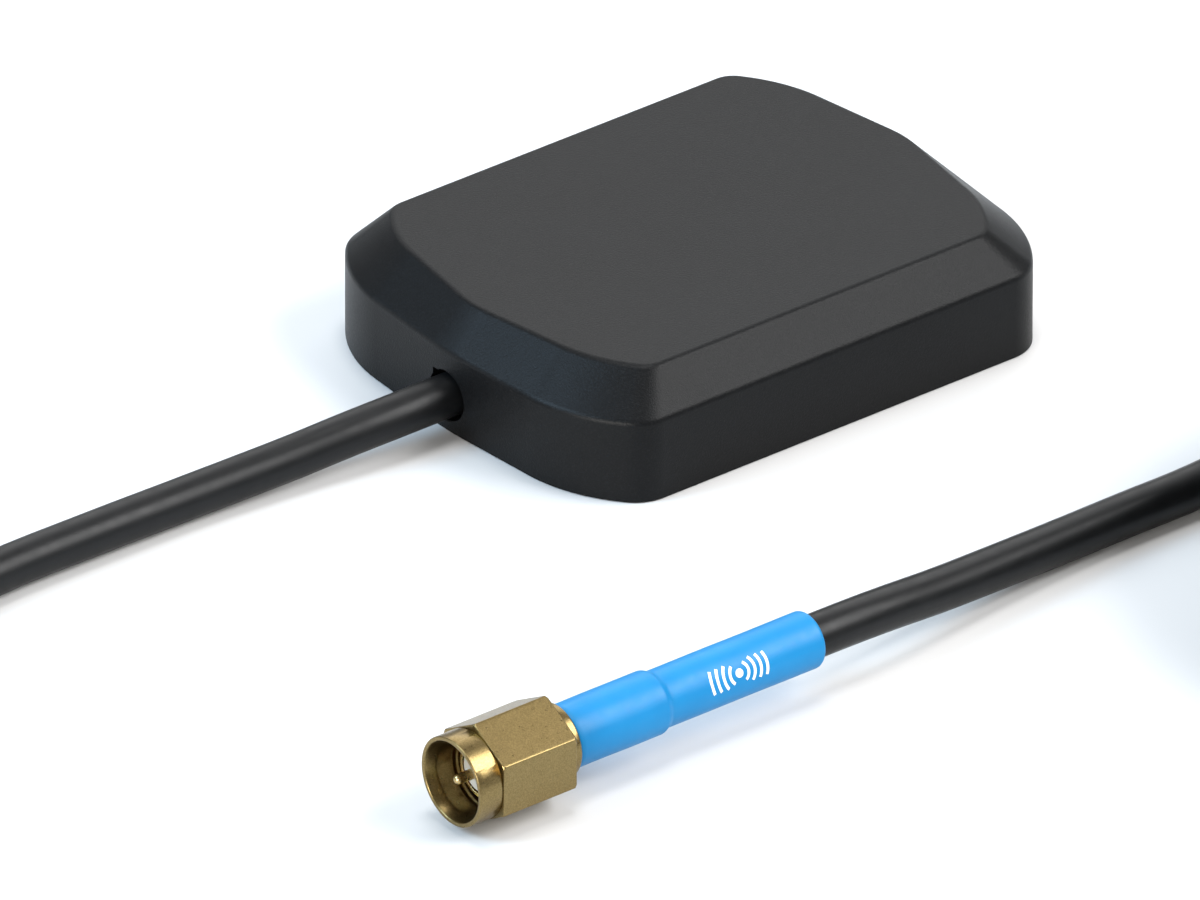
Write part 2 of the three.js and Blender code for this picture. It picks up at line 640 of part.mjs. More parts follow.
function couplingNut() {
  const hexRadius = NUT.acrossFlats / Math.sqrt(3);
  const hexLength = NUT.length - NUT.noseLength;
  const hex = new THREE.CylinderGeometry(hexRadius, hexRadius, hexLength, 6);
  hex.rotateZ(-Math.PI / 2).translate(NUT.noseLength + hexLength / 2, 0, 0);
  const edge = 0.35;
  const blank = turned([
    [NUT.noseLength - 1, 0], [NUT.noseLength - 1, hexRadius - edge],
    [NUT.noseLength, hexRadius - edge], [NUT.noseLength + edge, hexRadius],
    [NUT.length - edge, hexRadius], [NUT.length, hexRadius - edge], [NUT.length, 0],
  ]);
  const nose = turned([
    [0, 0], [0, NUT.noseRadius - 0.15], [0.15, NUT.noseRadius],
    [NUT.noseLength + 0.5, NUT.noseRadius], [NUT.noseLength + 0.5, 0],
  ]);
  const bore = turned([
    [-1, 0], [-1, NUT.bore + 0.4], [0, NUT.bore + 0.4], [0.4, NUT.bore],
    [RING_GROOVE.start, NUT.bore], [RING_GROOVE.start, RING_GROOVE.radius],
    [RING_GROOVE.end, RING_GROOVE.radius], [RING_GROOVE.end, NUT.bore],
    [NUT_LIP.start, NUT.bore], [NUT_LIP.start, NUT_LIP.radius],
    [NUT.length + 1, NUT_LIP.radius], [NUT.length + 1, 0],
  ]);
  const outside = toSolid(hex).intersect(toSolid(blank)).add(toSolid(nose));
  return toGeometry(outside.subtract(toSolid(bore)));
}

function snapRing() {
  const { start, end, inner, outer, slit } = SNAP_RING;
  const opening = block(start - 1, end + 1, -slit / 2, slit / 2, 0, outer + 1);
  return cut(ring(start, end, inner, outer, 32), opening);
}

// Front tube, with a groove for the snap ring. The shoulder is pressed onto its rear end.
function plugBody() {
  const end = SHOULDER.start - LAYER_GAP;
  const { bore, nose, radius, groove } = TUBE;
  const noseEnd = 5;
  return turned([
    [CONTACT_FACE, bore], [CONTACT_FACE, nose], [noseEnd, nose], [noseEnd, radius],
    [groove.start, radius], [groove.start, groove.radius], [groove.end, groove.radius],
    [groove.end, radius], [end, radius], [end, bore], [CONTACT_FACE, bore],
  ]);
}

// Shoulder ring and the stem that the lead's braid is crimped to.
function plugShoulder() {
  const { start, end, radius } = SHOULDER;
  const bevel = 0.2;
  return turned([
    [start, STEM.bore], [start, radius - bevel], [start + bevel, radius], [end - bevel, radius],
    [end, radius - bevel], [end, STEM.radius], [STEM.end, STEM.radius], [STEM.end, STEM.bore],
    [start, STEM.bore],
  ]);
}

function plugPin() {
  const { radius, tip, end } = PIN;
  const dome = [0, 30, 60, 90].map((degrees) => {
    const angle = THREE.MathUtils.degToRad(degrees);
    return [tip + radius * (1 - Math.cos(angle)), radius * Math.sin(angle)];
  });
  return turned([...dome, [end, radius], [end, 0]], 24);
}

function heatShrinkSleeve() {
  const { start, step, end, thick, thin } = SLEEVE;
  const overFerrule = 2.45;
  const overLead = LEAD_RADIUS + 0.2;
  const ferruleEnd = 19.2;
  return turned([
    [start, overFerrule], [start, thick - 0.15], [start + 0.15, thick], [step - 0.6, thick],
    [step, thick - 0.1], [step + 0.7, thin], [end - 0.35, thin], [end - 0.1, thin - 0.1],
    [end, thin - 0.3], [end, overLead], [ferruleEnd + 0.2, overLead], [ferruleEnd, overFerrule],
    [start, overFerrule],
  ]);
}

function plugPieces() {
  const group = new THREE.Group();
  const insulator = ring(
    CONTACT_FACE + 0.05, INSULATOR.end, INSULATOR.bore, INSULATOR.radius, 32);
  group.add(mesh('coupling_nut', couplingNut(), MATERIAL.brass));
  group.add(mesh('snap_ring', snapRing(), MATERIAL.brass));
  group.add(mesh('plug_body', plugBody(), MATERIAL.gold));
  group.add(mesh('plug_shoulder', plugShoulder(), MATERIAL.gold));
  group.add(mesh('plug_gasket', ring(5.3, 6.2, 2.6, 3, 32), MATERIAL.gasket));
  group.add(mesh('plug_insulator', insulator, MATERIAL.ptfe));
  group.add(mesh('plug_pin', plugPin(), MATERIAL.gold));
  group.add(mesh('lead_core_in_plug', rod(9.8, 19, CORE_RADIUS, 0), MATERIAL.dielectric));
  group.add(mesh('lead_braid_in_plug', ring(12, 17.4, 1.65, 1.85, 24), MATERIAL.braid));
  group.add(mesh('crimp_ferrule', ring(11.9, 18.6, 1.95, 2.3, 24), MATERIAL.brass));
  group.add(mesh('heat_shrink_sleeve', heatShrinkSleeve(), MATERIAL.sleeve));
  return group;
}

// ---------------------------------------------------------------------------------------------
// Assembly
// ---------------------------------------------------------------------------------------------

const puck = new THREE.Group();
puck.add(housingPieces(), antennaPieces(), leadEntryPieces());
puck.rotation.z = HEADING;

const plug = plugPieces();
plug.position.set(PLUG_MOUTH.x, PLUG_MOUTH.y, PLUG_MOUTH.z);
plug.rotation.z = HEADING;

const antenna = new THREE.Group();
antenna.add(puck, leadPieces(), plug);

export default antenna;
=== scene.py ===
"""Looks of a GNSS antenna with its coaxial lead and screw plug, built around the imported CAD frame."""
import json
import math

import bmesh
import bpy
from mathutils import Matrix, Vector, noise

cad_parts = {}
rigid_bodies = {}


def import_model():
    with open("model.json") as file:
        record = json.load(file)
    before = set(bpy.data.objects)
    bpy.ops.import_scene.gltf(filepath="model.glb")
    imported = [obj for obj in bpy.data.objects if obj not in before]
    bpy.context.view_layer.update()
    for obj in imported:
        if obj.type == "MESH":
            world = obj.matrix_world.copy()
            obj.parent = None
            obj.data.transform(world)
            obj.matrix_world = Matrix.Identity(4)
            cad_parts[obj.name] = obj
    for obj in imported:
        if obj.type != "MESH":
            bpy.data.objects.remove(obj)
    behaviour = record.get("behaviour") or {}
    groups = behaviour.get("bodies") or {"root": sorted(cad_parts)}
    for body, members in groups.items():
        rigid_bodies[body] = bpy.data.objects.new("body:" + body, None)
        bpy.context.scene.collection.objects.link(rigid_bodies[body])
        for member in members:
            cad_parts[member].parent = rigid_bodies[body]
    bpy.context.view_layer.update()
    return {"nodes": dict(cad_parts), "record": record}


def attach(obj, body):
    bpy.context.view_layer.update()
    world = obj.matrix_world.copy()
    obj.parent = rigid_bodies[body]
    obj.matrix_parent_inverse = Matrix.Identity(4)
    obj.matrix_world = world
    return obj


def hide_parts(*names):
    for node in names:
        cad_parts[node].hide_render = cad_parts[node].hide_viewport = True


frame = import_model()

MM = 0.001
HEADING = math.radians(38.5)  # the housing's long axis and the plug's axis, from +X

# Housing, as in the CAD: the wall's outline and the top plate's. A quarter of each is bounded by the
# lines of its end, its shoulder and its long side: (distance, facing in degrees, rounding).
WALL = ((25.8, 3.6, 31), (28.65, 41, 14.5), (20.15, 90, 3.9))
PLATE = ((22.7, 9, 9.8), (24.65, 37.5, 14.2), (17.25, 90, 2.2))
WALL_END = 25.8
HOUSING_HEIGHT = 11
RIM_BOTTOM = 0.05
KEY_SLOT = {"y": (1.2, 1.8), "z": (4.4, 5.3), "depth": 1.2}
WALL_TOP = 7.6
WALL_THICKNESS = 2
ROOF_THICKNESS = 1.5
LEDGE = 2.3
HOLE_RADIUS = 2.25
EXIT_HEIGHT = 3.3
CHAMFER_REACH = 3  # across the chamfer, from the wall's outline to the plate's
EDGE_ROUNDING = 0.34  # only in the looks
RIM_INSETS = (1.2, 1.1)  # of the rim's inner face, above and at its bottom edge
BOSS = {"x": 18.5, "y": 14.2, "radius": 2.2, "bottom": 2.0, "top": 8.6}
PILOT_HOLE = {"radius": 0.95, "top": 6.8}
FOOT_INSET = 2.2  # of the rubber foot, from the wall

# Lead, as in the CAD.
LEAD_DIAMETER = 3.8
RESTING_HEIGHT = 2.0  # of its centreline, where it lies on the floor
HOUSING_SIDE_ROUTE = [
    (-18.55, -14.75, 3.3),
    (-24.0, -19.09, 3.3),
    (-28.2, -21.9, 3.0),
    (-33.0, -24.9, 2.45),
    (-41.0, -30.3, 2.0),
    (-50.0, -37.2, 2.0),
    (-57.4, -43.2, 2.0),
    (-63.2, -49.4, 2.0),
    (-66.4, -57.4, 2.0),
    (-66.8, -66.0, 2.0),
    (-66.8, -76.0, 2.0),
    (-66.8, -86.0, 2.0),
    (-65.5, -92.2, 2.0),
    (-62.0, -97.5, 2.0),
    (-56.6, -101.0, 2.0),
    (-50.3, -102.2, 2.0),
    (-38.0, -102.2, 2.0),
    (-18.0, -102.1, 2.0),
    (4.0, -102.0, 2.0),
    (28.0, -102.2, 2.0),
    (48.0, -102.0, 2.0),
    (63.0, -98.4, 2.0),
    (75.8, -90.6, 2.0),
    (86.5, -81.6, 2.0),
    (95.4, -72.8, 2.0),
]
PLUG_SIDE_ROUTE = [
    (44.9, -26.4, 2.2),
    (40.7, -29.8, 2.0),
    (36.4, -33.2, 2.0),
    (31.2, -37.6, 2.1),
    (25.6, -42.9, 2.6),
    (20.4, -48.2, 3.35),
    (15.9, -52.9, 4.25),
]
TURN_PITCH = 3.85
COIL = {"x": 77.3, "y": -40.6, "outer": 31.2, "inner": 15.5, "layers": 4, "bottom": 0.85}
CLIMB = {"from": -42, "to": 34, "steps": 9}
TOP_TURN_START = 95  # degrees round the coil, where the top layer begins
LEAVING_ANGLE = 128.5  # where the lowest layer leaves the coil towards the plug
LAYER_CHANGE = 100  # degrees that the lead takes to step down one layer
WHOLE_TURNS = 16
POINTS_PER_TURN = 24
CLIMB_GAP = 0.3  # between the coil and the lead that climbs its outside
BULGE = 0.35  # sideways, where the lead steps down one layer

# Plug, as in the CAD. Its own x runs from the nut's mouth back along the lead.
PLUG_MOUTH = (-19.9, -81.9, 4.66)
JACKET_END = 20
STRAIGHT_PART = (41, 34, 27, JACKET_END)  # places where the lead is on the plug's axis
NUT_LENGTH = 10.4
NOSE_LENGTH = 2.8
NOSE_RADIUS = 3.95
HEX_RADIUS = 8 / math.sqrt(3)  # to the corners; it is 8 mm across the flats
NUT_BORE = 3.2
NUT_LIP = {"start": 9.2, "radius": 2.75}
RING_GROOVE = {"start": 7.25, "end": 8.45, "radius": 3.6}

# Details of the plug that are only in the looks.
NUT_MOUTH = 0.45  # the nose's rim, which is at 0 in the CAD
NUT_FACE_CUT = 0.17  # off the hexagon's corners at its end faces
THREAD = {"start": 2.9, "end": 5.0, "pitch": 0.7056, "depth": 0.13, "fade": 0.4, "steps": 44}
MARK = {"x": 28.75, "facing": 65, "stroke": 0.26, "half_height": 1.0, "arcs": (0.95, 1.6, 2.25, 2.9)}

PUCK_FRAME = Matrix.Rotation(HEADING, 4, "Z")
PLUG_FRAME = Matrix.Translation(Vector(PLUG_MOUTH) * MM) @ Matrix.Rotation(HEADING, 4, "Z")


def on_plug_axis(x):
    """A point on the plug's axis, in millimetres in the part's own frame."""
    step = Vector((math.cos(HEADING), math.sin(HEADING), 0)) * x
    return Vector(PLUG_MOUTH) + step


def lerp(a, b, amount):
    return a + (b - a) * amount


def smoothstep(amount):
    return amount * amount * (3 - 2 * amount)


# ---------------------------------------------------------------------------------------------
# Camera
# ---------------------------------------------------------------------------------------------


def make_camera():
    """A very long lens, which shows the object almost without perspective."""
    lens, sensor = 1250, 36
    frame_width = 99.5 * MM
    elevation = math.radians(30)
    target = Vector((-7.4, -19.35, 0)) * MM
    data = bpy.data.cameras.new("camera")
    data.lens = lens
    data.sensor_width = sensor
    camera = bpy.data.objects.new("camera", data)
    bpy.context.collection.objects.link(camera)
    back = Vector((0, -math.cos(elevation), math.sin(elevation)))
    distance = frame_width * lens / sensor
    camera.location = target + back * distance
    camera.rotation_mode = "QUATERNION"
    camera.rotation_quaternion = (-back).to_track_quat("-Z", "Y")
    data.clip_start = distance / 100
    data.clip_end = distance * 100
    bpy.context.scene.camera = camera


# ---------------------------------------------------------------------------------------------
# Mesh helpers
# ---------------------------------------------------------------------------------------------


def new_piece(name, mesh, slot, body="antenna"):
    """Links a mesh as a smooth-shaded piece that rides on a body."""
    obj = bpy.data.objects.new(name, mesh)
    bpy.context.collection.objects.link(obj)
    mesh.shade_smooth()
    mesh.materials.append(MATERIALS[slot])
    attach(obj, body)
    return obj


def grid_mesh(name, rows, matrix, close_rows=True, cap_start=False, cap_end=False):
    """Mesh from rows of points that go round. close_rows joins the last row to the first one."""
    count = len(rows[0])
    verts = [matrix @ (Vector(point) * MM) for row in rows for point in row]
    faces = []
    pairs = len(rows) if close_rows else len(rows) - 1
    for r in range(pairs):
        here, there = r * count, (r + 1) % len(rows) * count
        for i in range(count):
            j = (i + 1) % count
            faces.append((here + i, here + j, there + j, there + i))
    if cap_start:
        faces.append(tuple(reversed(range(count))))
    if cap_end:
        faces.append(tuple((len(rows) - 1) * count + i for i in range(count)))
    mesh = bpy.data.meshes.new(name)
    mesh.from_pydata([tuple(v) for v in verts], [], faces)
    fix_normals(mesh)
    return mesh


def fix_normals(mesh):
    work = bmesh.new()
    work.from_mesh(mesh)
    bmesh.ops.recalc_face_normals(work, faces=work.faces)
    work.to_mesh(mesh)
    work.free()
    mesh.update()


def rounded(profile, radius, steps=4):
    """Rounds the corners of an open or closed profile of 2-D points."""
    closed = profile[0] == profile[-1]
    points = [Vector(p) for p in (profile[:-1] if closed else profile)]
    count = len(points)
    result = []
    for i, corner in enumerate(points):
        if not closed and i in (0, count - 1):
            result.append(tuple(corner))
            continue
        before, after = points[i - 1] - corner, points[(i + 1) % count] - corner
        reach = min(radius, before.length * 0.45, after.length * 0.45)
        start, end = corner + before.normalized() * reach, corner + after.normalized() * reach
        for k in range(steps + 1):
            t = k / steps
            result.append(tuple(start * (1 - t) ** 2 + corner * (2 * t * (1 - t)) + end * t**2))
    return result


def turned(name, profile, matrix, segments=96, closed=True):
    """Surface of revolution about local x, from a profile of (x, radius) points."""
    rows = []
    for x, radius in profile:
        angles = (math.tau * i / segments for i in range(segments))
        rows.append([(x, radius * math.cos(a), radius * math.sin(a)) for a in angles])
    return grid_mesh(name, rows, matrix, close_rows=closed, cap_start=not closed, cap_end=not closed)


def weight_normals(obj):
    """Flat faces keep flat shading up to their rounded edges."""
    modifier = obj.modifiers.new("weighted_normals", "WEIGHTED_NORMAL")
    modifier.keep_sharp = True
    apply_modifiers(obj)


def apply_modifiers(obj):
    graph = bpy.context.evaluated_depsgraph_get()
    mesh = bpy.data.meshes.new_from_object(obj.evaluated_get(graph))
    obj.modifiers.clear()
    obj.data = mesh


# ---------------------------------------------------------------------------------------------
# Materials
# ---------------------------------------------------------------------------------------------


LOOK = "_look"  # keeps these names apart from the frame's own materials


class Finish:
    """One Principled material whose grain, colour drift and gloss come from noise in object space."""

    def __init__(self, name, color, roughness, metallic=0.0, specular=0.5):
        self.material = bpy.data.materials.new(name + LOOK)
        self.material.use_nodes = True
        self.tree = self.material.node_tree
        self.shader = self.tree.nodes["Principled BSDF"]
        self.shader.inputs["Base Color"].default_value = (*color, 1)
        self.shader.inputs["Roughness"].default_value = roughness
        self.shader.inputs["Metallic"].default_value = metallic
        self.shader.inputs["Specular IOR Level"].default_value = specular
        self.color = color
        self.place = self.node("ShaderNodeTexCoord").outputs["Object"]
        self.normal = None

    def node(self, kind, **values):
        made = self.tree.nodes.new(kind)
        for key, value in values.items():
            if hasattr(made, key) and key not in made.inputs:
                setattr(made, key, value)
            else:
                made.inputs[key].default_value = value
        return made

    def link(self, source, target):
        self.tree.links.new(source, target)

    def stretched(self, scale, angle=0.0):
        mapping = self.node("ShaderNodeMapping")
        mapping.inputs["Scale"].default_value = scale
        mapping.inputs["Rotation"].default_value = (0, 0, angle)
        self.link(self.place, mapping.inputs["Vector"])
        return mapping.outputs["Vector"]

    def noise(self, size, detail=2.0, place=None, rough=0.5):
        """Noise whose features are about this many millimetres across."""
        made = self.node("ShaderNodeTexNoise", Scale=1 / (size * MM), Detail=detail, Roughness=rough)
        self.link(place or self.place, made.inputs["Vector"])
        return made.outputs["Fac"]

    def cells(self, size):
        made = self.node("ShaderNodeTexVoronoi", Scale=1 / (size * MM))
        self.link(self.place, made.inputs["Vector"])
        return made.outputs["Distance"]

    def ramp(self, source, low, high, start=0.3, end=0.7):
        made = self.node("ShaderNodeMapRange")
        made.inputs["From Min"].default_value = start
        made.inputs["From Max"].default_value = end
        made.inputs["To Min"].default_value = low
        made.inputs["To Max"].default_value = high
        self.link(source, made.inputs["Value"])
        return made.outputs["Result"]

    def tint(self, source, other, start=0.35, end=0.65):
        """Mixes the base colour towards another one where the source is high."""
        mix = self.node("ShaderNodeMix", data_type="RGBA")
        before = self.shader.inputs["Base Color"]
        if before.is_linked:
            self.link(before.links[0].from_socket, mix.inputs["A"])
        else:
            mix.inputs["A"].default_value = (*self.color, 1)
        mix.inputs["B"].default_value = (*other, 1)
        self.link(self.ramp(source, 0, 1, start, end), mix.inputs["Factor"])
        self.link(mix.outputs["Result"], before)
        return self

    def gloss(self, source, low, high):
        self.link(self.ramp(source, low, high), self.shader.inputs["Roughness"])
        return self

    def bump(self, source, depth, strength=1.0):
        """Adds relief of this many millimetres."""
        made = self.node("ShaderNodeBump", Strength=strength, Distance=depth * MM)
        self.link(source, made.inputs["Height"])
        if self.normal:
            self.link(self.normal, made.inputs["Normal"])
        self.normal = made.outputs["Normal"]
        self.link(self.normal, self.shader.inputs["Normal"])
        return self


def housing_plastic():
    """Spark-eroded black ABS: a fine even grain, and very faint drift in colour."""
    m = Finish("housing_plastic", (0.0034, 0.0036, 0.0040), 0.42, specular=0.14)
    grain = m.noise(0.16, detail=3, rough=0.65)
    m.tint(m.noise(9, detail=3), (0.0040, 0.0043, 0.0048))
    m.tint(grain, (0.0075, 0.0080, 0.0086), 0.5, 0.75)
    m.gloss(grain, 0.36, 0.46)
    m.bump(m.noise(0.45, detail=2), 0.004, 0.5)
    m.bump(grain, 0.030, 0.8)
    return m.material


def floor_plastic():
    m = Finish("floor_plastic", (0.012, 0.0125, 0.013), 0.55, specular=0.35)
    m.tint(m.noise(6), (0.016, 0.0165, 0.017))
    m.bump(m.noise(0.25, detail=3), 0.02, 0.5)
    return m.material


def rubber(name, color, grain):
    m = Finish(name, color, 0.72, specular=0.3)
    m.tint(m.noise(4, detail=4), tuple(c * 1.5 for c in color))
    m.gloss(m.noise(1.5, detail=3), 0.62, 0.8)
    m.bump(m.noise(grain, detail=3, rough=0.7), 0.03, 0.6)
    return m.material


def lead_jacket():
    """Satin PVC: faint drift in colour and gloss, and a fine orange peel."""
    m = Finish("lead_jacket", (0.0040, 0.0042, 0.0046), 0.40, specular=0.24)
    m.tint(m.noise(2.2, detail=4), (0.0050, 0.0052, 0.0057))
    m.gloss(m.noise(1.4, detail=4), 0.36, 0.45)
    m.bump(m.noise(0.9, detail=2), 0.010, 0.5)
    m.bump(m.noise(0.12, detail=2), 0.006, 0.5)
    return m.material


def plated(name, color, shade, rough_low, rough_high, depth=0.006):
    """Gold-plated brass with a fine satin grain."""
    m = Finish(name, color, (rough_low + rough_high) / 2, metallic=1)
    m.tint(m.noise(0.12, detail=2), shade)
    m.gloss(m.noise(0.4, detail=3), rough_low, rough_high)
    m.bump(m.noise(0.1, detail=3, rough=0.7), depth, 0.6)
    return m.material


def metal(name, color, roughness, stretch=None):
    """Plain plated sheet metal with faint drawing lines or spangle."""
    m = Finish(name, color, roughness, metallic=1)
    place = m.stretched(stretch) if stretch else None
    m.tint(m.noise(1.8, detail=5), tuple(c * 0.8 for c in color))
    m.gloss(m.noise(0.8, detail=4, place=place), roughness * 0.8, roughness * 1.25)
    m.bump(m.noise(0.2, detail=3, place=place), 0.006, 0.5)
    return m.material


def board_laminate():
    """Solder mask over copper tracks and a grid of ground vias."""
    m = Finish("board_laminate", (0.006, 0.07, 0.022), 0.28)
    tracks = m.node("ShaderNodeTexBrick", Scale=1 / (3 * MM))
    m.link(m.stretched((1, 1, 1), -HEADING), tracks.inputs["Vector"])
    m.tint(tracks.outputs["Fac"], (0.01, 0.13, 0.04), 0.3, 0.7)
    m.tint(m.cells(1.4), (0.5, 0.42, 0.2), 0.985, 0.995)
    m.bump(tracks.outputs["Fac"], 0.03, 0.5)
    m.bump(m.noise(0.3, detail=3), 0.005, 0.5)
    return m.material


def mould_compound():
    m = Finish("chip_plastic", (0.012, 0.012, 0.0135), 0.55)
    m.tint(m.noise(0.2, detail=3), (0.02, 0.02, 0.022))
    m.bump(m.noise(0.08, detail=3), 0.006, 0.7)
    return m.material


def fired_ceramic(name, color, shade):
    m = Finish(name, color, 0.55)
    m.tint(m.noise(0.9, detail=6, rough=0.7), shade)
    m.tint(m.cells(0.7), tuple(c * 0.6 for c in color), 0.9, 1.0)
    m.bump(m.noise(0.15, detail=4), 0.01, 0.6)
    return m.material


def open_foam():
    m = Finish("foam", (0.045, 0.047, 0.053), 0.95, specular=0.2)
    m.tint(m.cells(0.5), (0.012, 0.012, 0.014), 0.3, 0.6)
    m.bump(m.cells(0.5), 0.2, 0.9)
    return m.material


def woven_braid():
    """Copper braid: two crossed sets of fine bands."""
    m = Finish("braid_metal", (0.62, 0.36, 0.18), 0.32, metallic=1)
    for angle in (0.7, -0.7):
        wave = m.node("ShaderNodeTexWave", Scale=1 / (0.9 * MM), Distortion=0.6)
        m.link(m.stretched((1, 1, 1), angle), wave.inputs["Vector"])
        m.bump(wave.outputs["Fac"], 0.06, 0.7)
    m.tint(m.noise(0.8, detail=3), (0.48, 0.26, 0.12))
    return m.material


def clear_plastic(name, color, roughness):
    m = Finish(name, color, roughness)
    m.shader.inputs["Subsurface Weight"].default_value = 0.12
    m.shader.inputs["Subsurface Scale"].default_value = 0.6 * MM
    m.tint(m.noise(1.5, detail=4), tuple(c * 0.93 for c in color))
    m.bump(m.noise(0.4, detail=3), 0.006, 0.5)
    return m.material


def shrink_sleeve():
    """Polyolefin heat-shrink: even blue with a satin skin and very faint ripples."""
    m = Finish("sleeve_plastic", (0.006, 0.212, 0.492), 0.40, specular=0.27)
    m.tint(m.noise(3, detail=3), (0.005, 0.197, 0.466))
    m.gloss(m.noise(0.9, detail=4), 0.38, 0.48)
    m.bump(m.noise(1.6, detail=2), 0.020, 0.5)
    m.bump(m.noise(0.14, detail=3), 0.006, 0.5)
    return m.material


def printed_ink():
    m = Finish("sleeve_ink", (0.86, 0.88, 0.9), 0.5)
    m.tint(m.noise(0.3, detail=4), (0.78, 0.82, 0.88), 0.5, 0.8)
    m.bump(m.noise(0.15, detail=3), 0.005, 0.5)
    return m.material


def make_materials():
    made = [
        housing_plastic(),
        floor_plastic(),
        rubber("seal_rubber", (0.010, 0.010, 0.011), 0.3),
        rubber("pad_rubber", (0.013, 0.013, 0.014), 0.22),
        metal("screw_steel", (0.48, 0.49, 0.50), 0.28, stretch=(1, 1, 8)),
        metal("magnet_metal", (0.42, 0.41, 0.39), 0.2),
        board_laminate(),
        metal("shield_metal", (0.60, 0.61, 0.60), 0.3, stretch=(6, 1, 1)),
        mould_compound(),
        fired_ceramic("small_ceramic", (0.46, 0.36, 0.22), (0.36, 0.27, 0.16)),
        metal("silver_layer", (0.74, 0.73, 0.70), 0.42),
        fired_ceramic("patch_ceramic", (0.45, 0.37, 0.28), (0.38, 0.31, 0.23)),
        metal("solder_metal", (0.62, 0.62, 0.62), 0.18),
        open_foam(),
        lead_jacket(),
        woven_braid(),
        clear_plastic("core_plastic", (0.82, 0.80, 0.74), 0.35),
        metal("copper", (0.72, 0.36, 0.20), 0.25),
        plated("plug_brass", (0.27, 0.198, 0.085), (0.195, 0.141, 0.056), 0.27, 0.33, depth=0.010),
        plated("plug_gold", (0.56, 0.42, 0.20), (0.46, 0.34, 0.155), 0.24, 0.32),
        rubber("gasket_rubber", (0.30, 0.045, 0.028), 0.4),
        # PTFE is white; this colour is darkened to grey-beige as painted shade, for the core's place
        # deep in the nut's bore.
        clear_plastic("plug_ptfe", (0.40, 0.385, 0.345), 0.42),
        shrink_sleeve(),
        printed_ink(),
        rubber("tie_plastic", (0.011, 0.011, 0.012), 0.5),
    ]
    return {material.name.removesuffix(LOOK): material for material in made}


# ---------------------------------------------------------------------------------------------
# Lead
# ---------------------------------------------------------------------------------------------


def coil_points():
    """The climb up the coil's outside, then four layers of turns, from the top one down."""
    points = []
    top = COIL["bottom"] + (COIL["layers"] - 0.5) * TURN_PITCH

    def add(angle, radius, height):
        a = math.radians(angle)
        x, y = COIL["x"] + radius * math.cos(a), COIL["y"] + radius * math.sin(a)
        points.append(Vector((x, y, height)))

    outside = COIL["outer"] + TURN_PITCH + CLIMB_GAP
    for i in range(CLIMB["steps"] + 1):
        part = i / CLIMB["steps"]
        add(lerp(CLIMB["from"], CLIMB["to"], part), outside, lerp(RESTING_HEIGHT, top, smoothstep(part)))
    move_in = 4
    for i in range(1, move_in + 1):
        part = i / move_in
        angle = lerp(CLIMB["to"], TOP_TURN_START, part)
        add(angle, lerp(outside, COIL["outer"], smoothstep(part)), top)

    changes = (COIL["layers"] - 1) * LAYER_CHANGE
    spare = (LEAVING_ANGLE - TOP_TURN_START - changes) % 360
    turns = (WHOLE_TURNS + spare / 360) / COIL["layers"]
    steps = round(turns * POINTS_PER_TURN)
    change_steps = round(LAYER_CHANGE / 360 * POINTS_PER_TURN)
    angle = TOP_TURN_START
    for layer in range(COIL["layers"]):
        height = top - layer * TURN_PITCH
        inward = layer % 2 == 0
        start = COIL["outer"] if inward else COIL["inner"]
        end = COIL["inner"] if inward else COIL["outer"]
        for i in range(1, steps + 1):
            part = i / steps
            add(angle + part * turns * 360, lerp(start, end, part), height)
        angle += turns * 360
        if layer < COIL["layers"] - 1:
            bulge = -BULGE if inward else BULGE
            for i in range(1, change_steps + 1):
                part = i / change_steps
                radius = end + bulge * math.sin(math.pi * part)
                add(angle + part * LAYER_CHANGE, radius, height - smoothstep(part) * TURN_PITCH)
            angle += LAYER_CHANGE
    return points


def smooth_line(points, pieces):
    """Centripetal Catmull-Rom curve through the points, with this many pieces a span."""
    ends = [points[0] * 2 - points[1], *points, points[-1] * 2 - points[-2]]
    line = []
    for p0, p1, p2, p3 in zip(ends, ends[1:], ends[2:], ends[3:]):
        t0 = 0.0
        t1 = t0 + math.sqrt((p1 - p0).length)
        t2 = t1 + math.sqrt((p2 - p1).length)
        t3 = t2 + math.sqrt((p3 - p2).length)
        for i in range(pieces):
            t = lerp(t1, t2, i / pieces)
            a1 = p0.lerp(p1, (t - t0) / (t1 - t0))
            a2 = p1.lerp(p2, (t - t1) / (t2 - t1))
            a3 = p2.lerp(p3, (t - t2) / (t3 - t2))
            b1 = a1.lerp(a2, (t - t0) / (t2 - t0))
            b2 = a2.lerp(a3, (t - t1) / (t3 - t1))
            line.append(b1.lerp(b2, (t - t1) / (t2 - t1)))
    return [*line, points[-1]]


def make_lead():
    """One curve from inside the housing's hole, round the layout, through the coil to the plug."""
    route = [Vector(p) for p in HOUSING_SIDE_ROUTE]
    route += coil_points()
    route += [Vector(p) for p in PLUG_SIDE_ROUTE]
    route += [on_plug_axis(x) for x in STRAIGHT_PART]
    line = smooth_line(route, pieces=4)
    data = bpy.data.curves.new("lead", "CURVE")
    data.dimensions = "3D"
    spline = data.splines.new("POLY")
    spline.points.add(len(line) - 1)
    for point, place in zip(spline.points, line):
        point.co = (*(place * MM), 1)
    spline.use_smooth = True
    data.bevel_depth = LEAD_DIAMETER / 2 * MM
    data.bevel_resolution = 6
    data.use_fill_caps = True
    data.materials.append(MATERIALS["lead_jacket"])
    lead = bpy.data.objects.new("lead", data)
    bpy.context.collection.objects.link(lead)
    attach(lead, "antenna")
    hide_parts("lead_housing_side", "lead_coil", "lead_plug_side")
    return lead, line


# ---------------------------------------------------------------------------------------------
# Housing
# ---------------------------------------------------------------------------------------------


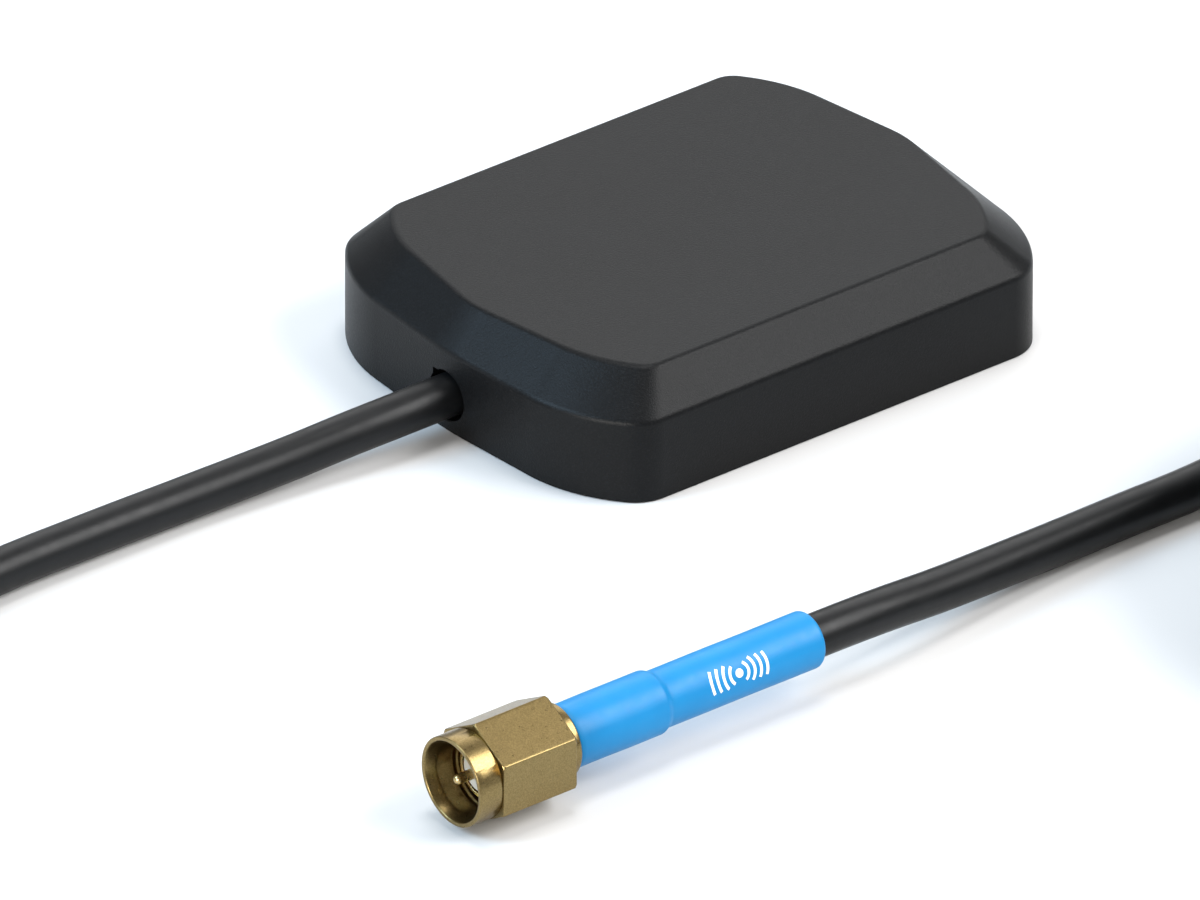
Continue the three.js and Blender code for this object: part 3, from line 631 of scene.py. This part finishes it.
def crossing(distance_a, angle_a, distance_b, angle_b):
    """Point where two lines meet, each at a distance from the centre and facing an angle."""
    turn = math.sin(angle_b - angle_a)
    x = (distance_a * math.sin(angle_b) - distance_b * math.sin(angle_a)) / turn
    y = (distance_b * math.cos(angle_a) - distance_a * math.cos(angle_b)) / turn
    return Vector((x, y))


def outline(size, inset=0.0):
    """Points round the housing: long sides, corners, shoulders and shallow pointed ends."""
    steps, least_rounding = 14, 0.6
    end, shoulder, side = size
    order = ((side, -1), (shoulder, -1), (end, -1), (end, 1), (shoulder, 1), (side, 1))
    lines = [(line[0] - inset, sign * math.radians(line[1])) for line, sign in order]
    roundings = [max(line[2] - inset, least_rounding) for line in (side, shoulder, end, shoulder, side)]
    half = []
    for i, radius in enumerate(roundings):
        start, stop = lines[i][1], lines[i + 1][1]
        middle = (start + stop) / 2
        reach = radius / math.cos((stop - start) / 2)
        corner = crossing(*lines[i], *lines[i + 1])
        centre = corner - Vector((math.cos(middle), math.sin(middle))) * reach
        for step in range(steps + 1):
            angle = lerp(start, stop, step / steps)
            half.append(centre + Vector((math.cos(angle), math.sin(angle))) * radius)
    return [(p.x, p.y) for p in half] + [(-p.x, -p.y) for p in half]


def ring_row(size, inset, z):
    return [(x, y, z) for x, y in outline(size, inset)]


def shrunk_row(size, scale, z):
    return [(x * scale, y * scale, z) for x, y in outline(size)]


def between_row(amount, z):
    """Row on the chamfer, this far from the wall's outline to the plate's."""
    pairs = zip(outline(WALL), outline(PLATE))
    return [(lerp(a[0], b[0], amount), lerp(a[1], b[1], amount), z) for a, b in pairs]


def boolean(obj, operation, cutter):
    modifier = obj.modifiers.new("boolean", "BOOLEAN")
    modifier.operation = operation
    modifier.solver = "EXACT"
    modifier.object = cutter
    apply_modifiers(obj)
    bpy.data.objects.remove(cutter)


def loose_object(name, mesh):
    obj = bpy.data.objects.new(name, mesh)
    bpy.context.collection.objects.link(obj)
    return obj


def upright(name, x, y, radius, z0, z1):
    """Loose upright cylinder."""
    sides = 32
    rows = []
    for z in (z0, z1):
        angles = (math.tau * i / sides for i in range(sides))
        rows.append([(x + radius * math.cos(a), y + radius * math.sin(a), z) for a in angles])
    mesh = grid_mesh(name, rows, PUCK_FRAME, close_rows=False, cap_start=True, cap_end=True)
    return loose_object(name, mesh)


def sharp_then_weighted(obj, angle=32):
    """Edges steeper than this stay crisp; flat faces keep flat shading beside rounded edges."""
    obj.data.shade_smooth()
    obj.data.set_sharp_from_angle(angle=math.radians(angle))
    weight_normals(obj)


def housing_rows():
    """From the middle of the roof's inside, down to the rim, and up to the middle of the top."""
    rows = [
        shrunk_row(PLATE, 0.9, HOUSING_HEIGHT - ROOF_THICKNESS),
        ring_row(WALL, WALL_THICKNESS, WALL_TOP - 1),
        ring_row(WALL, WALL_THICKNESS, LEDGE),
        ring_row(WALL, RIM_INSETS[0], LEDGE),
        ring_row(WALL, RIM_INSETS[0], RIM_BOTTOM + 0.1),
        ring_row(WALL, RIM_INSETS[1], RIM_BOTTOM),
    ]
    reach = CHAMFER_REACH
    section = [(0, RIM_BOTTOM), (0, WALL_TOP), (reach, HOUSING_HEIGHT), (reach + 1, HOUSING_HEIGHT)]
    for inset, rise in ((0.1, 0), (0.03, 0.03), (0, 0.1)):
        rows.append(ring_row(WALL, inset, RIM_BOTTOM + rise))
    for x, z in rounded(section, EDGE_ROUNDING, steps=7)[1:-1]:
        if x <= reach:
            rows.append(between_row(x / reach, z))
        else:
            rows.append(ring_row(PLATE, x - reach, z))
    return [*rows, shrunk_row(PLATE, 0.93, HOUSING_HEIGHT)]


def lead_hole_cutter():
    """Round hole with a softened mouth."""
    mouth = -WALL_END
    profile = [(mouth - 1, HOLE_RADIUS + 0.9), (mouth - 0.02, HOLE_RADIUS + 0.16)]
    profile += [(mouth + 0.08, HOLE_RADIUS + 0.03), (mouth + 0.22, HOLE_RADIUS), (-20, HOLE_RADIUS)]
    matrix = PUCK_FRAME @ Matrix.Translation((0, 0, EXIT_HEIGHT * MM))
    return loose_object("lead_hole", turned("lead_hole", profile, matrix, segments=64, closed=False))


def key_slot_cutter():
    (y0, y1), (z0, z1) = KEY_SLOT["y"], KEY_SLOT["z"]
    ends = (-WALL_END - 1, -WALL_END + KEY_SLOT["depth"])
    rows = [[(x, y0, z0), (x, y1, z0), (x, y1, z1), (x, y0, z1)] for x in ends]
    mesh = grid_mesh("key_slot", rows, PUCK_FRAME, close_rows=False, cap_start=True, cap_end=True)
    return loose_object("key_slot", mesh)


def make_housing():
    mesh = grid_mesh(
        "housing_shell", housing_rows(), PUCK_FRAME, close_rows=False, cap_start=True, cap_end=True)
    shell = new_piece("housing_shell", mesh, "housing_plastic")
    screws = [(x * BOSS["x"], y * BOSS["y"]) for x, y in ((1, 1), (-1, 1), (-1, -1), (1, -1))]
    for x, y in screws:
        boolean(shell, "UNION", upright("boss", x, y, BOSS["radius"], BOSS["bottom"], BOSS["top"]))
    for x, y in screws:
        pilot = upright("pilot", x, y, PILOT_HOLE["radius"], 0, PILOT_HOLE["top"])
        boolean(shell, "DIFFERENCE", pilot)
    boolean(shell, "DIFFERENCE", lead_hole_cutter())
    boolean(shell, "DIFFERENCE", key_slot_cutter())
    sharp_then_weighted(shell)
    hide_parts("top_housing")


def make_bottom_pad():
    """Pad with soft edges and a shallow groove round its middle."""
    section = [(1, 0.8), (0.05, 0.8), (0, 0.75), (0, 0.15), (0.15, 0), (1.8, 0), (2.0, 0.2)]
    section += [(2.6, 0.2), (2.8, 0), (4.4, 0)]
    foot = outline(WALL, FOOT_INSET)
    mean_radius = 18  # turns an inset into a scale
    rows = []
    for inset, z in section:
        shrink = 1 - inset / mean_radius
        rows.append([(x * shrink, y * shrink, z) for x, y in foot])
    mesh = grid_mesh(
        "rubber_foot", rows, PUCK_FRAME, close_rows=False, cap_start=True, cap_end=True)
    pad = new_piece("rubber_foot", mesh, "pad_rubber")
    sharp_then_weighted(pad)
    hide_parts("bottom_pad")


# ---------------------------------------------------------------------------------------------
# Coil ties
# ---------------------------------------------------------------------------------------------

TIE_WIDTH = 3
TIE_THICKNESS = 0.5
TIE_ANGLES = (95, 255)
TIE_CLEARANCE = 0.06  # between the loop and the floor
TIE_ROUNDING = 2.1
TAIL = {
    "inset": 3,  # of its start from the coil's outer turn
    "height": 0.55,  # over the loop
    "curve": 21,
    "bend": 35,
    "turns": 3.5,
    "steps": 70,
    "lift": 0.5,
    "apart": 0.27,  # from the middle of the two
    "narrow": 0.36,
}


def strap_section():
    """Lens-shaped section of a coated flat tie with a wire in its middle: (across, thickness)."""
    half = TIE_WIDTH / 2
    edge, middle = TIE_THICKNESS * 0.3, TIE_THICKNESS / 2
    across = [-half, -half * 0.85, -half * 0.3, 0, half * 0.3, half * 0.85, half]
    thick = [edge * 0.6, edge, edge, middle, edge, edge, edge * 0.6]
    upper = list(zip(across, thick))
    return upper + [(a, -t) for a, t in reversed(upper)]


def tie_loop_rows(angle):
    """Rows of the strap that goes round the coil's section, in the plane of this angle."""
    radial = Vector((math.cos(angle), math.sin(angle), 0))
    along = Vector((-math.sin(angle), math.cos(angle), 0))
    up = Vector((0, 0, 1))
    centre = Vector((COIL["x"], COIL["y"], 0))
    inner = COIL["inner"] - TURN_PITCH / 2 - TIE_THICKNESS / 2
    outer = COIL["outer"] + TURN_PITCH / 2 + TIE_THICKNESS / 2
    low = TIE_CLEARANCE + TIE_THICKNESS / 2
    high = COIL["bottom"] + COIL["layers"] * TURN_PITCH + TIE_THICKNESS / 2
    corners = [(inner, low), (outer, low), (outer, high), (inner, high), (inner, low)]
    path = rounded(corners, TIE_ROUNDING, steps=8)
    rows = []
    for i, (r, z) in enumerate(path):
        before, after = Vector(path[i - 1]), Vector(path[(i + 1) % len(path)])
        way = (after - before).normalized()
        outward = radial * way.y - up * way.x
        here = centre + radial * r + up * z
        rows.append([here + along * a + outward * t for a, t in strap_section()])
    return rows


def twisted_tail_rows(angle, phase):
    """One of the two strap ends, wound round the other and laid along the coil's top."""
    radial = Vector((math.cos(angle), math.sin(angle), 0))
    along = Vector((-math.sin(angle), math.cos(angle), 0))
    up = Vector((0, 0, 1))
    top = COIL["bottom"] + COIL["layers"] * TURN_PITCH + TIE_THICKNESS
    centre = Vector((COIL["x"], COIL["y"], top + TAIL["height"]))
    start = centre + radial * (COIL["outer"] - TAIL["inset"])
    rows = []
    for i in range(TAIL["steps"] + 1):
        part = i / TAIL["steps"]
        bend = math.radians(TAIL["bend"]) * part
        side = along * math.sin(bend) + radial * math.cos(bend)
        path = (along * math.sin(bend) - radial * (1 - math.cos(bend))) * TAIL["curve"]
        lift = up * math.sin(math.pi * part) * TAIL["lift"]
        turn = phase + part * TAIL["turns"] * math.tau
        across = side * math.cos(turn) + up * math.sin(turn)
        thick = up * math.cos(turn) - side * math.sin(turn)
        here = start + path + lift + thick * TAIL["apart"]
        rows.append([here + across * a * TAIL["narrow"] + thick * t for a, t in strap_section()])
    return rows


def make_ties():
    for number, degrees in enumerate(TIE_ANGLES, 1):
        angle = math.radians(degrees)
        loop = grid_mesh(f"tie_loop_{number}", tie_loop_rows(angle), Matrix.Identity(4))
        strap = new_piece(f"tie_loop_{number}", loop, "tie_plastic")
        sharp_then_weighted(strap, 50)
        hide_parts(f"coil_tie_{number}")
        for end, phase in (("a", 0), ("b", math.pi)):
            name = f"tie_end_{number}{end}"
            rows = twisted_tail_rows(angle, phase)
            mesh = grid_mesh(
                name, rows, Matrix.Identity(4), close_rows=False, cap_start=True, cap_end=True)
            sharp_then_weighted(new_piece(name, mesh, "tie_plastic"), 50)


# ---------------------------------------------------------------------------------------------
# Plug
# ---------------------------------------------------------------------------------------------


def nut_angles():
    """Angles round the nut, close together at its six corners."""
    from_corner = (0, 0.5, 1, 1.5, 2.1, 3, 5, 8, 12, 17, 23)
    angles = []
    for corner in range(6):
        angles += [corner * 60 + a for a in from_corner]
        angles.append(corner * 60 + 30)
        angles += [corner * 60 + 60 - a for a in reversed(from_corner[1:])]
    return [math.radians(a) for a in angles]


def hex_radius(angle):
    """Distance from the axis to a hexagon with slightly rounded corners."""
    corner_radius = 0.11
    flat = HEX_RADIUS * math.cos(math.pi / 6)
    from_corner = abs((angle + math.pi / 6) % (math.pi / 3) - math.pi / 6)
    straight = flat / math.cos(math.pi / 6 - from_corner)
    centre = (flat - corner_radius) / math.cos(math.pi / 6)
    inside = corner_radius**2 - (centre * math.sin(from_corner)) ** 2
    if inside <= 0:
        return straight
    return min(straight, centre * math.cos(from_corner) + math.sqrt(inside))


def make_coupling_nut():
    """Nose ring, chamfered hexagon and a bore with its thread, as one closed skin."""
    mouth = NUT_MOUTH
    stations = []

    def around(x, radius):
        stations.append((x, lambda angle: radius))

    nose = [(1.5, NUT_BORE), (1.3, NUT_BORE + 0.04), (mouth + 0.3, NUT_BORE + 0.3)]
    nose += [(mouth + 0.06, NUT_BORE + 0.36), (mouth + 0.01, NUT_BORE + 0.40)]
    nose += [(mouth, NUT_BORE + 0.43), (mouth, NOSE_RADIUS - 0.09), (mouth + 0.01, NOSE_RADIUS - 0.05)]
    nose += [(mouth + 0.04, NOSE_RADIUS - 0.02), (mouth + 0.09, NOSE_RADIUS)]
    nose += [(NOSE_LENGTH - 0.16, NOSE_RADIUS), (NOSE_LENGTH - 0.08, NOSE_RADIUS - 0.06)]
    nose += [(NOSE_LENGTH, NOSE_RADIUS - 0.07)]
    for x, radius in nose:
        around(x, radius)

    def hex_station(x, depth):
        """depth is the distance in from the nearer end face of the hexagon."""
        edge = 0.06
        eased = edge - math.sqrt(max(edge**2 - max(edge - depth, 0) ** 2, 0))
        cone = HEX_RADIUS - NUT_FACE_CUT + depth
        lowest = NOSE_RADIUS - 0.05
        stations.append((x, lambda a: max(min(hex_radius(a) - eased, cone), lowest)))

    depths = [0, 0.008, 0.025, 0.06, 0.1, 0.16, 0.22, 0.28, 0.33, 0.38, 0.45, 1.2]
    for depth in depths:
        hex_station(NOSE_LENGTH + depth, depth)
    hex_station((NOSE_LENGTH + NUT_LENGTH) / 2, 2)
    for depth in reversed(depths):
        hex_station(NUT_LENGTH - depth, depth)
    lip, narrow = NUT_LIP["start"], NUT_LIP["radius"]
    inside = [(NUT_LENGTH, 3.3), (NUT_LENGTH, narrow + 0.1), (NUT_LENGTH - 0.1, narrow)]
    inside += [(lip + 0.1, narrow), (lip, narrow + 0.1), (lip, NUT_BORE - 0.05), (lip - 0.1, NUT_BORE)]
    groove, wide = (RING_GROOVE["start"], RING_GROOVE["end"]), RING_GROOVE["radius"]
    inside += [(groove[1], NUT_BORE), (groove[1], wide), (groove[0], wide), (groove[0], NUT_BORE)]
    for x, radius in [*inside, (5.3, NUT_BORE)]:
        around(x, radius)

    def thread_station(x):
        fade = min(1, (x - THREAD["start"]) / THREAD["fade"], (THREAD["end"] - x) / THREAD["fade"])

        def radius(angle):
            turn = (x / THREAD["pitch"] + angle / math.tau) % 1
            ridge = max(0, 1 - abs(turn - 0.5) * 2.6)
            return NUT_BORE - THREAD["depth"] * max(fade, 0) * min(ridge * 1.3, 1)

        stations.append((x, radius))

    for i in range(THREAD["steps"] + 1):
        thread_station(lerp(THREAD["end"], THREAD["start"], i / THREAD["steps"]))
    around(1.6, NUT_BORE)
    angles = nut_angles()
    rows = [[(x, r(a) * math.sin(a), r(a) * math.cos(a)) for a in angles] for x, r in stations]
    mesh = grid_mesh("hex_nut", rows, PLUG_FRAME)
    nut = new_piece("hex_nut", mesh, "plug_brass", body="coupling_nut")
    sharp_then_weighted(nut, 40)
    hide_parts("coupling_nut")
    return nut


def turned_piece(name, profile, slot, node, radius):
    """A turned piece that replaces a CAD node. The profile closes on itself."""
    mesh = turned(name, rounded(profile, radius), PLUG_FRAME)
    piece = new_piece(name, mesh, slot)
    sharp_then_weighted(piece, 45)
    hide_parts(node)
    return piece


def make_plug_core():
    body = [(3.2, 2.05), (3.2, 2.35), (5, 2.35), (5, 2.45), (7, 2.45), (7, 2.2), (8.6, 2.2)]
    body += [(8.6, 2.45), (10.6, 2.45), (10.6, 2.05), (3.2, 2.05)]
    shoulder = [(10.7, 0.95), (10.7, 3.25), (11.6, 3.25), (11.6, 1.55), (17.5, 1.55), (17.5, 0.95)]
    shoulder.append(shoulder[0])
    insulator = [(3.25, 0.6), (3.25, 1.9), (9.3, 1.9), (9.3, 0.6), (3.25, 0.6)]
    return [
        turned_piece("plug_tube", body, "plug_gold", "plug_body", 0.05),
        turned_piece("plug_rear_ring", shoulder, "plug_brass", "plug_shoulder", 0.16),
        turned_piece("plug_white_core", insulator, "plug_ptfe", "plug_insulator", 0.08),
        make_pin(),
    ]


def make_pin():
    """Centre pin with a rounded tip."""
    radius, tip = 0.46, 0.8
    profile = []
    for degrees in range(8, 91, 9):
        angle = math.radians(degrees)
        profile.append((tip + radius * (1 - math.cos(angle)), radius * math.sin(angle)))
    profile += [(1.5, radius), (3.05, radius), (9, radius)]
    mesh = turned("centre_pin", profile, PLUG_FRAME, segments=48, closed=False)
    pin = new_piece("centre_pin", mesh, "plug_gold")
    sharp_then_weighted(pin, 60)
    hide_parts("plug_pin")
    return pin


SLEEVE = {"start": 11.75, "step": 21.7, "end": 37.8, "thick": 2.8, "thin": 2.5}
SLEEVE_INSIDE = {"ferrule": 2.46, "lead": 2.03}
FERRULE_END = 19.2
SLEEVE_RIPPLE = 0.035


def sleeve_profile():
    """The shrunk sleeve: over the ferrule, down a soft step, along the lead, and back inside."""
    start, step, end = SLEEVE["start"], SLEEVE["step"], SLEEVE["end"]
    thick, thin = SLEEVE["thick"], SLEEVE["thin"]
    on_ferrule, on_cable = SLEEVE_INSIDE["ferrule"], SLEEVE_INSIDE["lead"]
    down_from, down_to = step - 0.7, step + 0.15
    end_length, end_depth = 0.42, 0.3
    outside = [(start, on_ferrule), (start, thick - 0.2), (start + 0.06, thick - 0.07)]
    outside.append((start + 0.2, thick))
    for i in range(1, 20):
        outside.append((lerp(start + 0.2, down_from, i / 20), thick))
    for i in range(17):
        part = i / 16
        outside.append((lerp(down_from, down_to, part), lerp(thick, thin, smoothstep(part))))
    for i in range(1, 32):
        outside.append((lerp(step + 0.75, end - 0.45, i / 32), thin))
    for degrees in range(0, 91, 15):
        angle = math.radians(degrees)
        x = end - end_length + end_length * math.sin(angle)
        outside.append((x, thin - end_depth + end_depth * math.cos(angle)))
    inside = [(end - 0.1, on_cable), (FERRULE_END + 0.2, on_cable), (FERRULE_END, on_ferrule)]
    return outside + inside


def make_sleeve():
    segments = 128
    rows = []
    for x, radius in sleeve_profile():
        row = []
        for i in range(segments):
            a = math.tau * i / segments
            place = Vector((x * 0.22, math.cos(a) * 1.1, math.sin(a) * 1.1))
            rippled = radius > SLEEVE_INSIDE["ferrule"] + 0.01
            shown = radius + (noise.noise(place) * SLEEVE_RIPPLE if rippled else 0)
            row.append((x, shown * math.cos(a), shown * math.sin(a)))
        rows.append(row)
    sleeve = new_piece("blue_sleeve", grid_mesh("blue_sleeve", rows, PLUG_FRAME), "sleeve_plastic")
    sharp_then_weighted(sleeve, 60)
    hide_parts("heat_shrink_sleeve")
    return sleeve


def on_sleeve(along, around, height):
    """A point over the sleeve's thin part: millimetres along it, round it, and off its skin."""
    radius = SLEEVE["thin"] + height
    angle = math.radians(MARK["facing"]) + around / SLEEVE["thin"]
    return Vector((MARK["x"] + along, -radius * math.sin(angle), radius * math.cos(angle)))


def ink_patch(name, rows):
    """Closed thin skin from a grid of (along, around) places."""
    above, below = 0.035, -0.05
    count = len(rows[0])
    verts = [on_sleeve(a, b, above) for row in rows for a, b in row]
    verts += [on_sleeve(a, b, below) for row in rows for a, b in row]
    lower = len(rows) * count
    faces = []
    for r in range(len(rows) - 1):
        for i in range(count - 1):
            a, b = r * count + i, r * count + i + 1
            c, d = b + count, a + count
            faces += [(a, b, c, d), (lower + d, lower + c, lower + b, lower + a)]
    border = list(range(count)) + [r * count + count - 1 for r in range(1, len(rows))]
    border += [(len(rows) - 1) * count + i for i in range(count - 2, -1, -1)]
    border += [r * count for r in range(len(rows) - 2, 0, -1)]
    for i, a in enumerate(border):
        b = border[(i + 1) % len(border)]
        faces.append((b, a, lower + a, lower + b))
    mesh = bpy.data.meshes.new(name)
    mesh.from_pydata([tuple(PLUG_FRAME @ (v * MM)) for v in verts], [], faces)
    fix_normals(mesh)
    return mesh


def make_sleeve_mark():
    """Plain signal sign: a dot with arcs on both sides of it."""
    stroke = MARK["stroke"]
    dot = []
    for r in (0.02, 0.2, 0.38):
        angles = (math.tau * i / 32 for i in range(33))
        dot.append([(r * math.cos(a), r * math.sin(a)) for a in angles])
    parts = [("sleeve_mark_dot", dot)]
    for number, radius in enumerate(MARK["arcs"], 1):
        span = min(math.radians(52), math.asin(min(1, MARK["half_height"] / radius)))
        for side, turn in (("l", math.pi), ("r", 0)):
            rows = []
            for r in (radius - stroke / 2, radius, radius + stroke / 2):
                angles = (turn + lerp(-span, span, i / 20) for i in range(21))
                rows.append([(r * math.cos(a), r * math.sin(a)) for a in angles])
            parts.append((f"sleeve_mark_arc_{number}{side}", rows))
    for name, rows in parts:
        mesh = ink_patch(name, rows)
        obj = bpy.data.objects.new(name, mesh)
        bpy.context.collection.objects.link(obj)
        mesh.materials.append(MATERIALS["sleeve_ink"])
        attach(obj, "antenna")


# ---------------------------------------------------------------------------------------------
# Pieces that keep their CAD shape
# ---------------------------------------------------------------------------------------------


def finish_cad_nodes():
    """Gives each carried-over node the finish of its record slot."""
    slots = {entry["node"]: entry["material_slot"] for entry in frame["record"]["subparts"]}
    for node, obj in frame["nodes"].items():
        for index in range(len(obj.material_slots)):
            obj.material_slots[index].material = MATERIALS[slots[node]]


# ---------------------------------------------------------------------------------------------
# Floor and light
# ---------------------------------------------------------------------------------------------


def make_floor():
    half = 12  # metres
    mesh = bpy.data.meshes.new("floor")
    corners = [(-half, -half, 0), (half, -half, 0), (half, half, 0), (-half, half, 0)]
    mesh.from_pydata(corners, [], [(0, 1, 2, 3)])
    floor = loose_object("floor", mesh)
    material = bpy.data.materials.new("pale_floor")
    material.use_nodes = True
    shader = material.node_tree.nodes["Principled BSDF"]
    shader.inputs["Base Color"].default_value = (0.67, 0.67, 0.67, 1)
    shader.inputs["Roughness"].default_value = 0.9
    shader.inputs["Specular IOR Level"].default_value = 0.1
    mesh.materials.append(material)


def softbox(name, azimuth, elevation, distance, size, power, color=(1, 1, 1)):
    """Rectangular soft light. Azimuth 0 is on the far side of the object, and 90 on its right."""
    a, e = math.radians(azimuth), math.radians(elevation)
    way = Vector((math.sin(a) * math.cos(e), math.cos(a) * math.cos(e), math.sin(e)))
    data = bpy.data.lights.new(name, "AREA")
    data.shape = "RECTANGLE"
    data.size, data.size_y = size
    data.energy = power
    data.color = color
    light = bpy.data.objects.new(name, data)
    bpy.context.collection.objects.link(light)
    light.location = way * distance
    light.rotation_mode = "QUATERNION"
    light.rotation_quaternion = way.to_track_quat("Z", "Y")


def make_world():
    """Even sky light, and a white backdrop below the horizon, past the edge of the floor."""
    sky, below = 0.27, 1.0
    world = bpy.data.worlds.new("studio")
    bpy.context.scene.world = world
    world.use_nodes = True
    nodes, links = world.node_tree.nodes, world.node_tree.links
    background = nodes["Background"]
    background.inputs["Color"].default_value = (1, 1, 1, 1)
    direction = nodes.new("ShaderNodeTexCoord")
    parts = nodes.new("ShaderNodeSeparateXYZ")
    under = nodes.new("ShaderNodeMath")
    under.operation = "LESS_THAN"
    under.inputs[1].default_value = 0
    strength = nodes.new("ShaderNodeMath")
    strength.operation = "MULTIPLY_ADD"
    strength.inputs[1].default_value = below - sky
    strength.inputs[2].default_value = sky
    links.new(direction.outputs["Generated"], parts.inputs[0])
    links.new(parts.outputs["Z"], under.inputs[0])
    links.new(under.outputs[0], strength.inputs[0])
    links.new(strength.outputs[0], background.inputs["Strength"])


def make_overhead_light():
    """Broad light from straight above, the same over the whole floor."""
    data = bpy.data.lights.new("overhead_light", "SUN")
    data.energy = 1.3
    data.angle = math.radians(21)
    light = bpy.data.objects.new("overhead_light", data)
    bpy.context.collection.objects.link(light)
    light.rotation_mode = "QUATERNION"
    light.rotation_quaternion = Vector((0, 0.07, 1)).to_track_quat("Z", "Y")


def make_lights():
    make_world()
    make_overhead_light()
    softbox("back_light", 0, 36, 1.1, (1.3, 0.7), 6.8)
    softbox("right_light", 100, 40, 1.0, (0.6, 0.6), 11.8)
    softbox("left_light", -105, 36, 1.0, (0.4, 0.4), 8.4, (0.55, 0.78, 1.0))
    softbox("low_left_light", -150, 10, 1.0, (0.4, 0.28), 8, (1.0, 0.96, 0.90))
    bpy.context.scene.view_settings.view_transform = "Standard"


# ---------------------------------------------------------------------------------------------
# Scene
# ---------------------------------------------------------------------------------------------

MATERIALS = make_materials()
make_camera()
lead, lead_line = make_lead()
make_floor()
make_lights()
finish_cad_nodes()
make_housing()
make_bottom_pad()
make_ties()
hex_nut = make_coupling_nut()
plug_core = make_plug_core()
sleeve = make_sleeve()
make_sleeve_mark()
on_lead = [hex_nut, *plug_core, sleeve, "snap_ring", "plug_gasket", "crimp_ferrule"]
on_lead += [o for o in bpy.context.scene.objects if o.name.startswith(("tie_", "sleeve_mark"))]
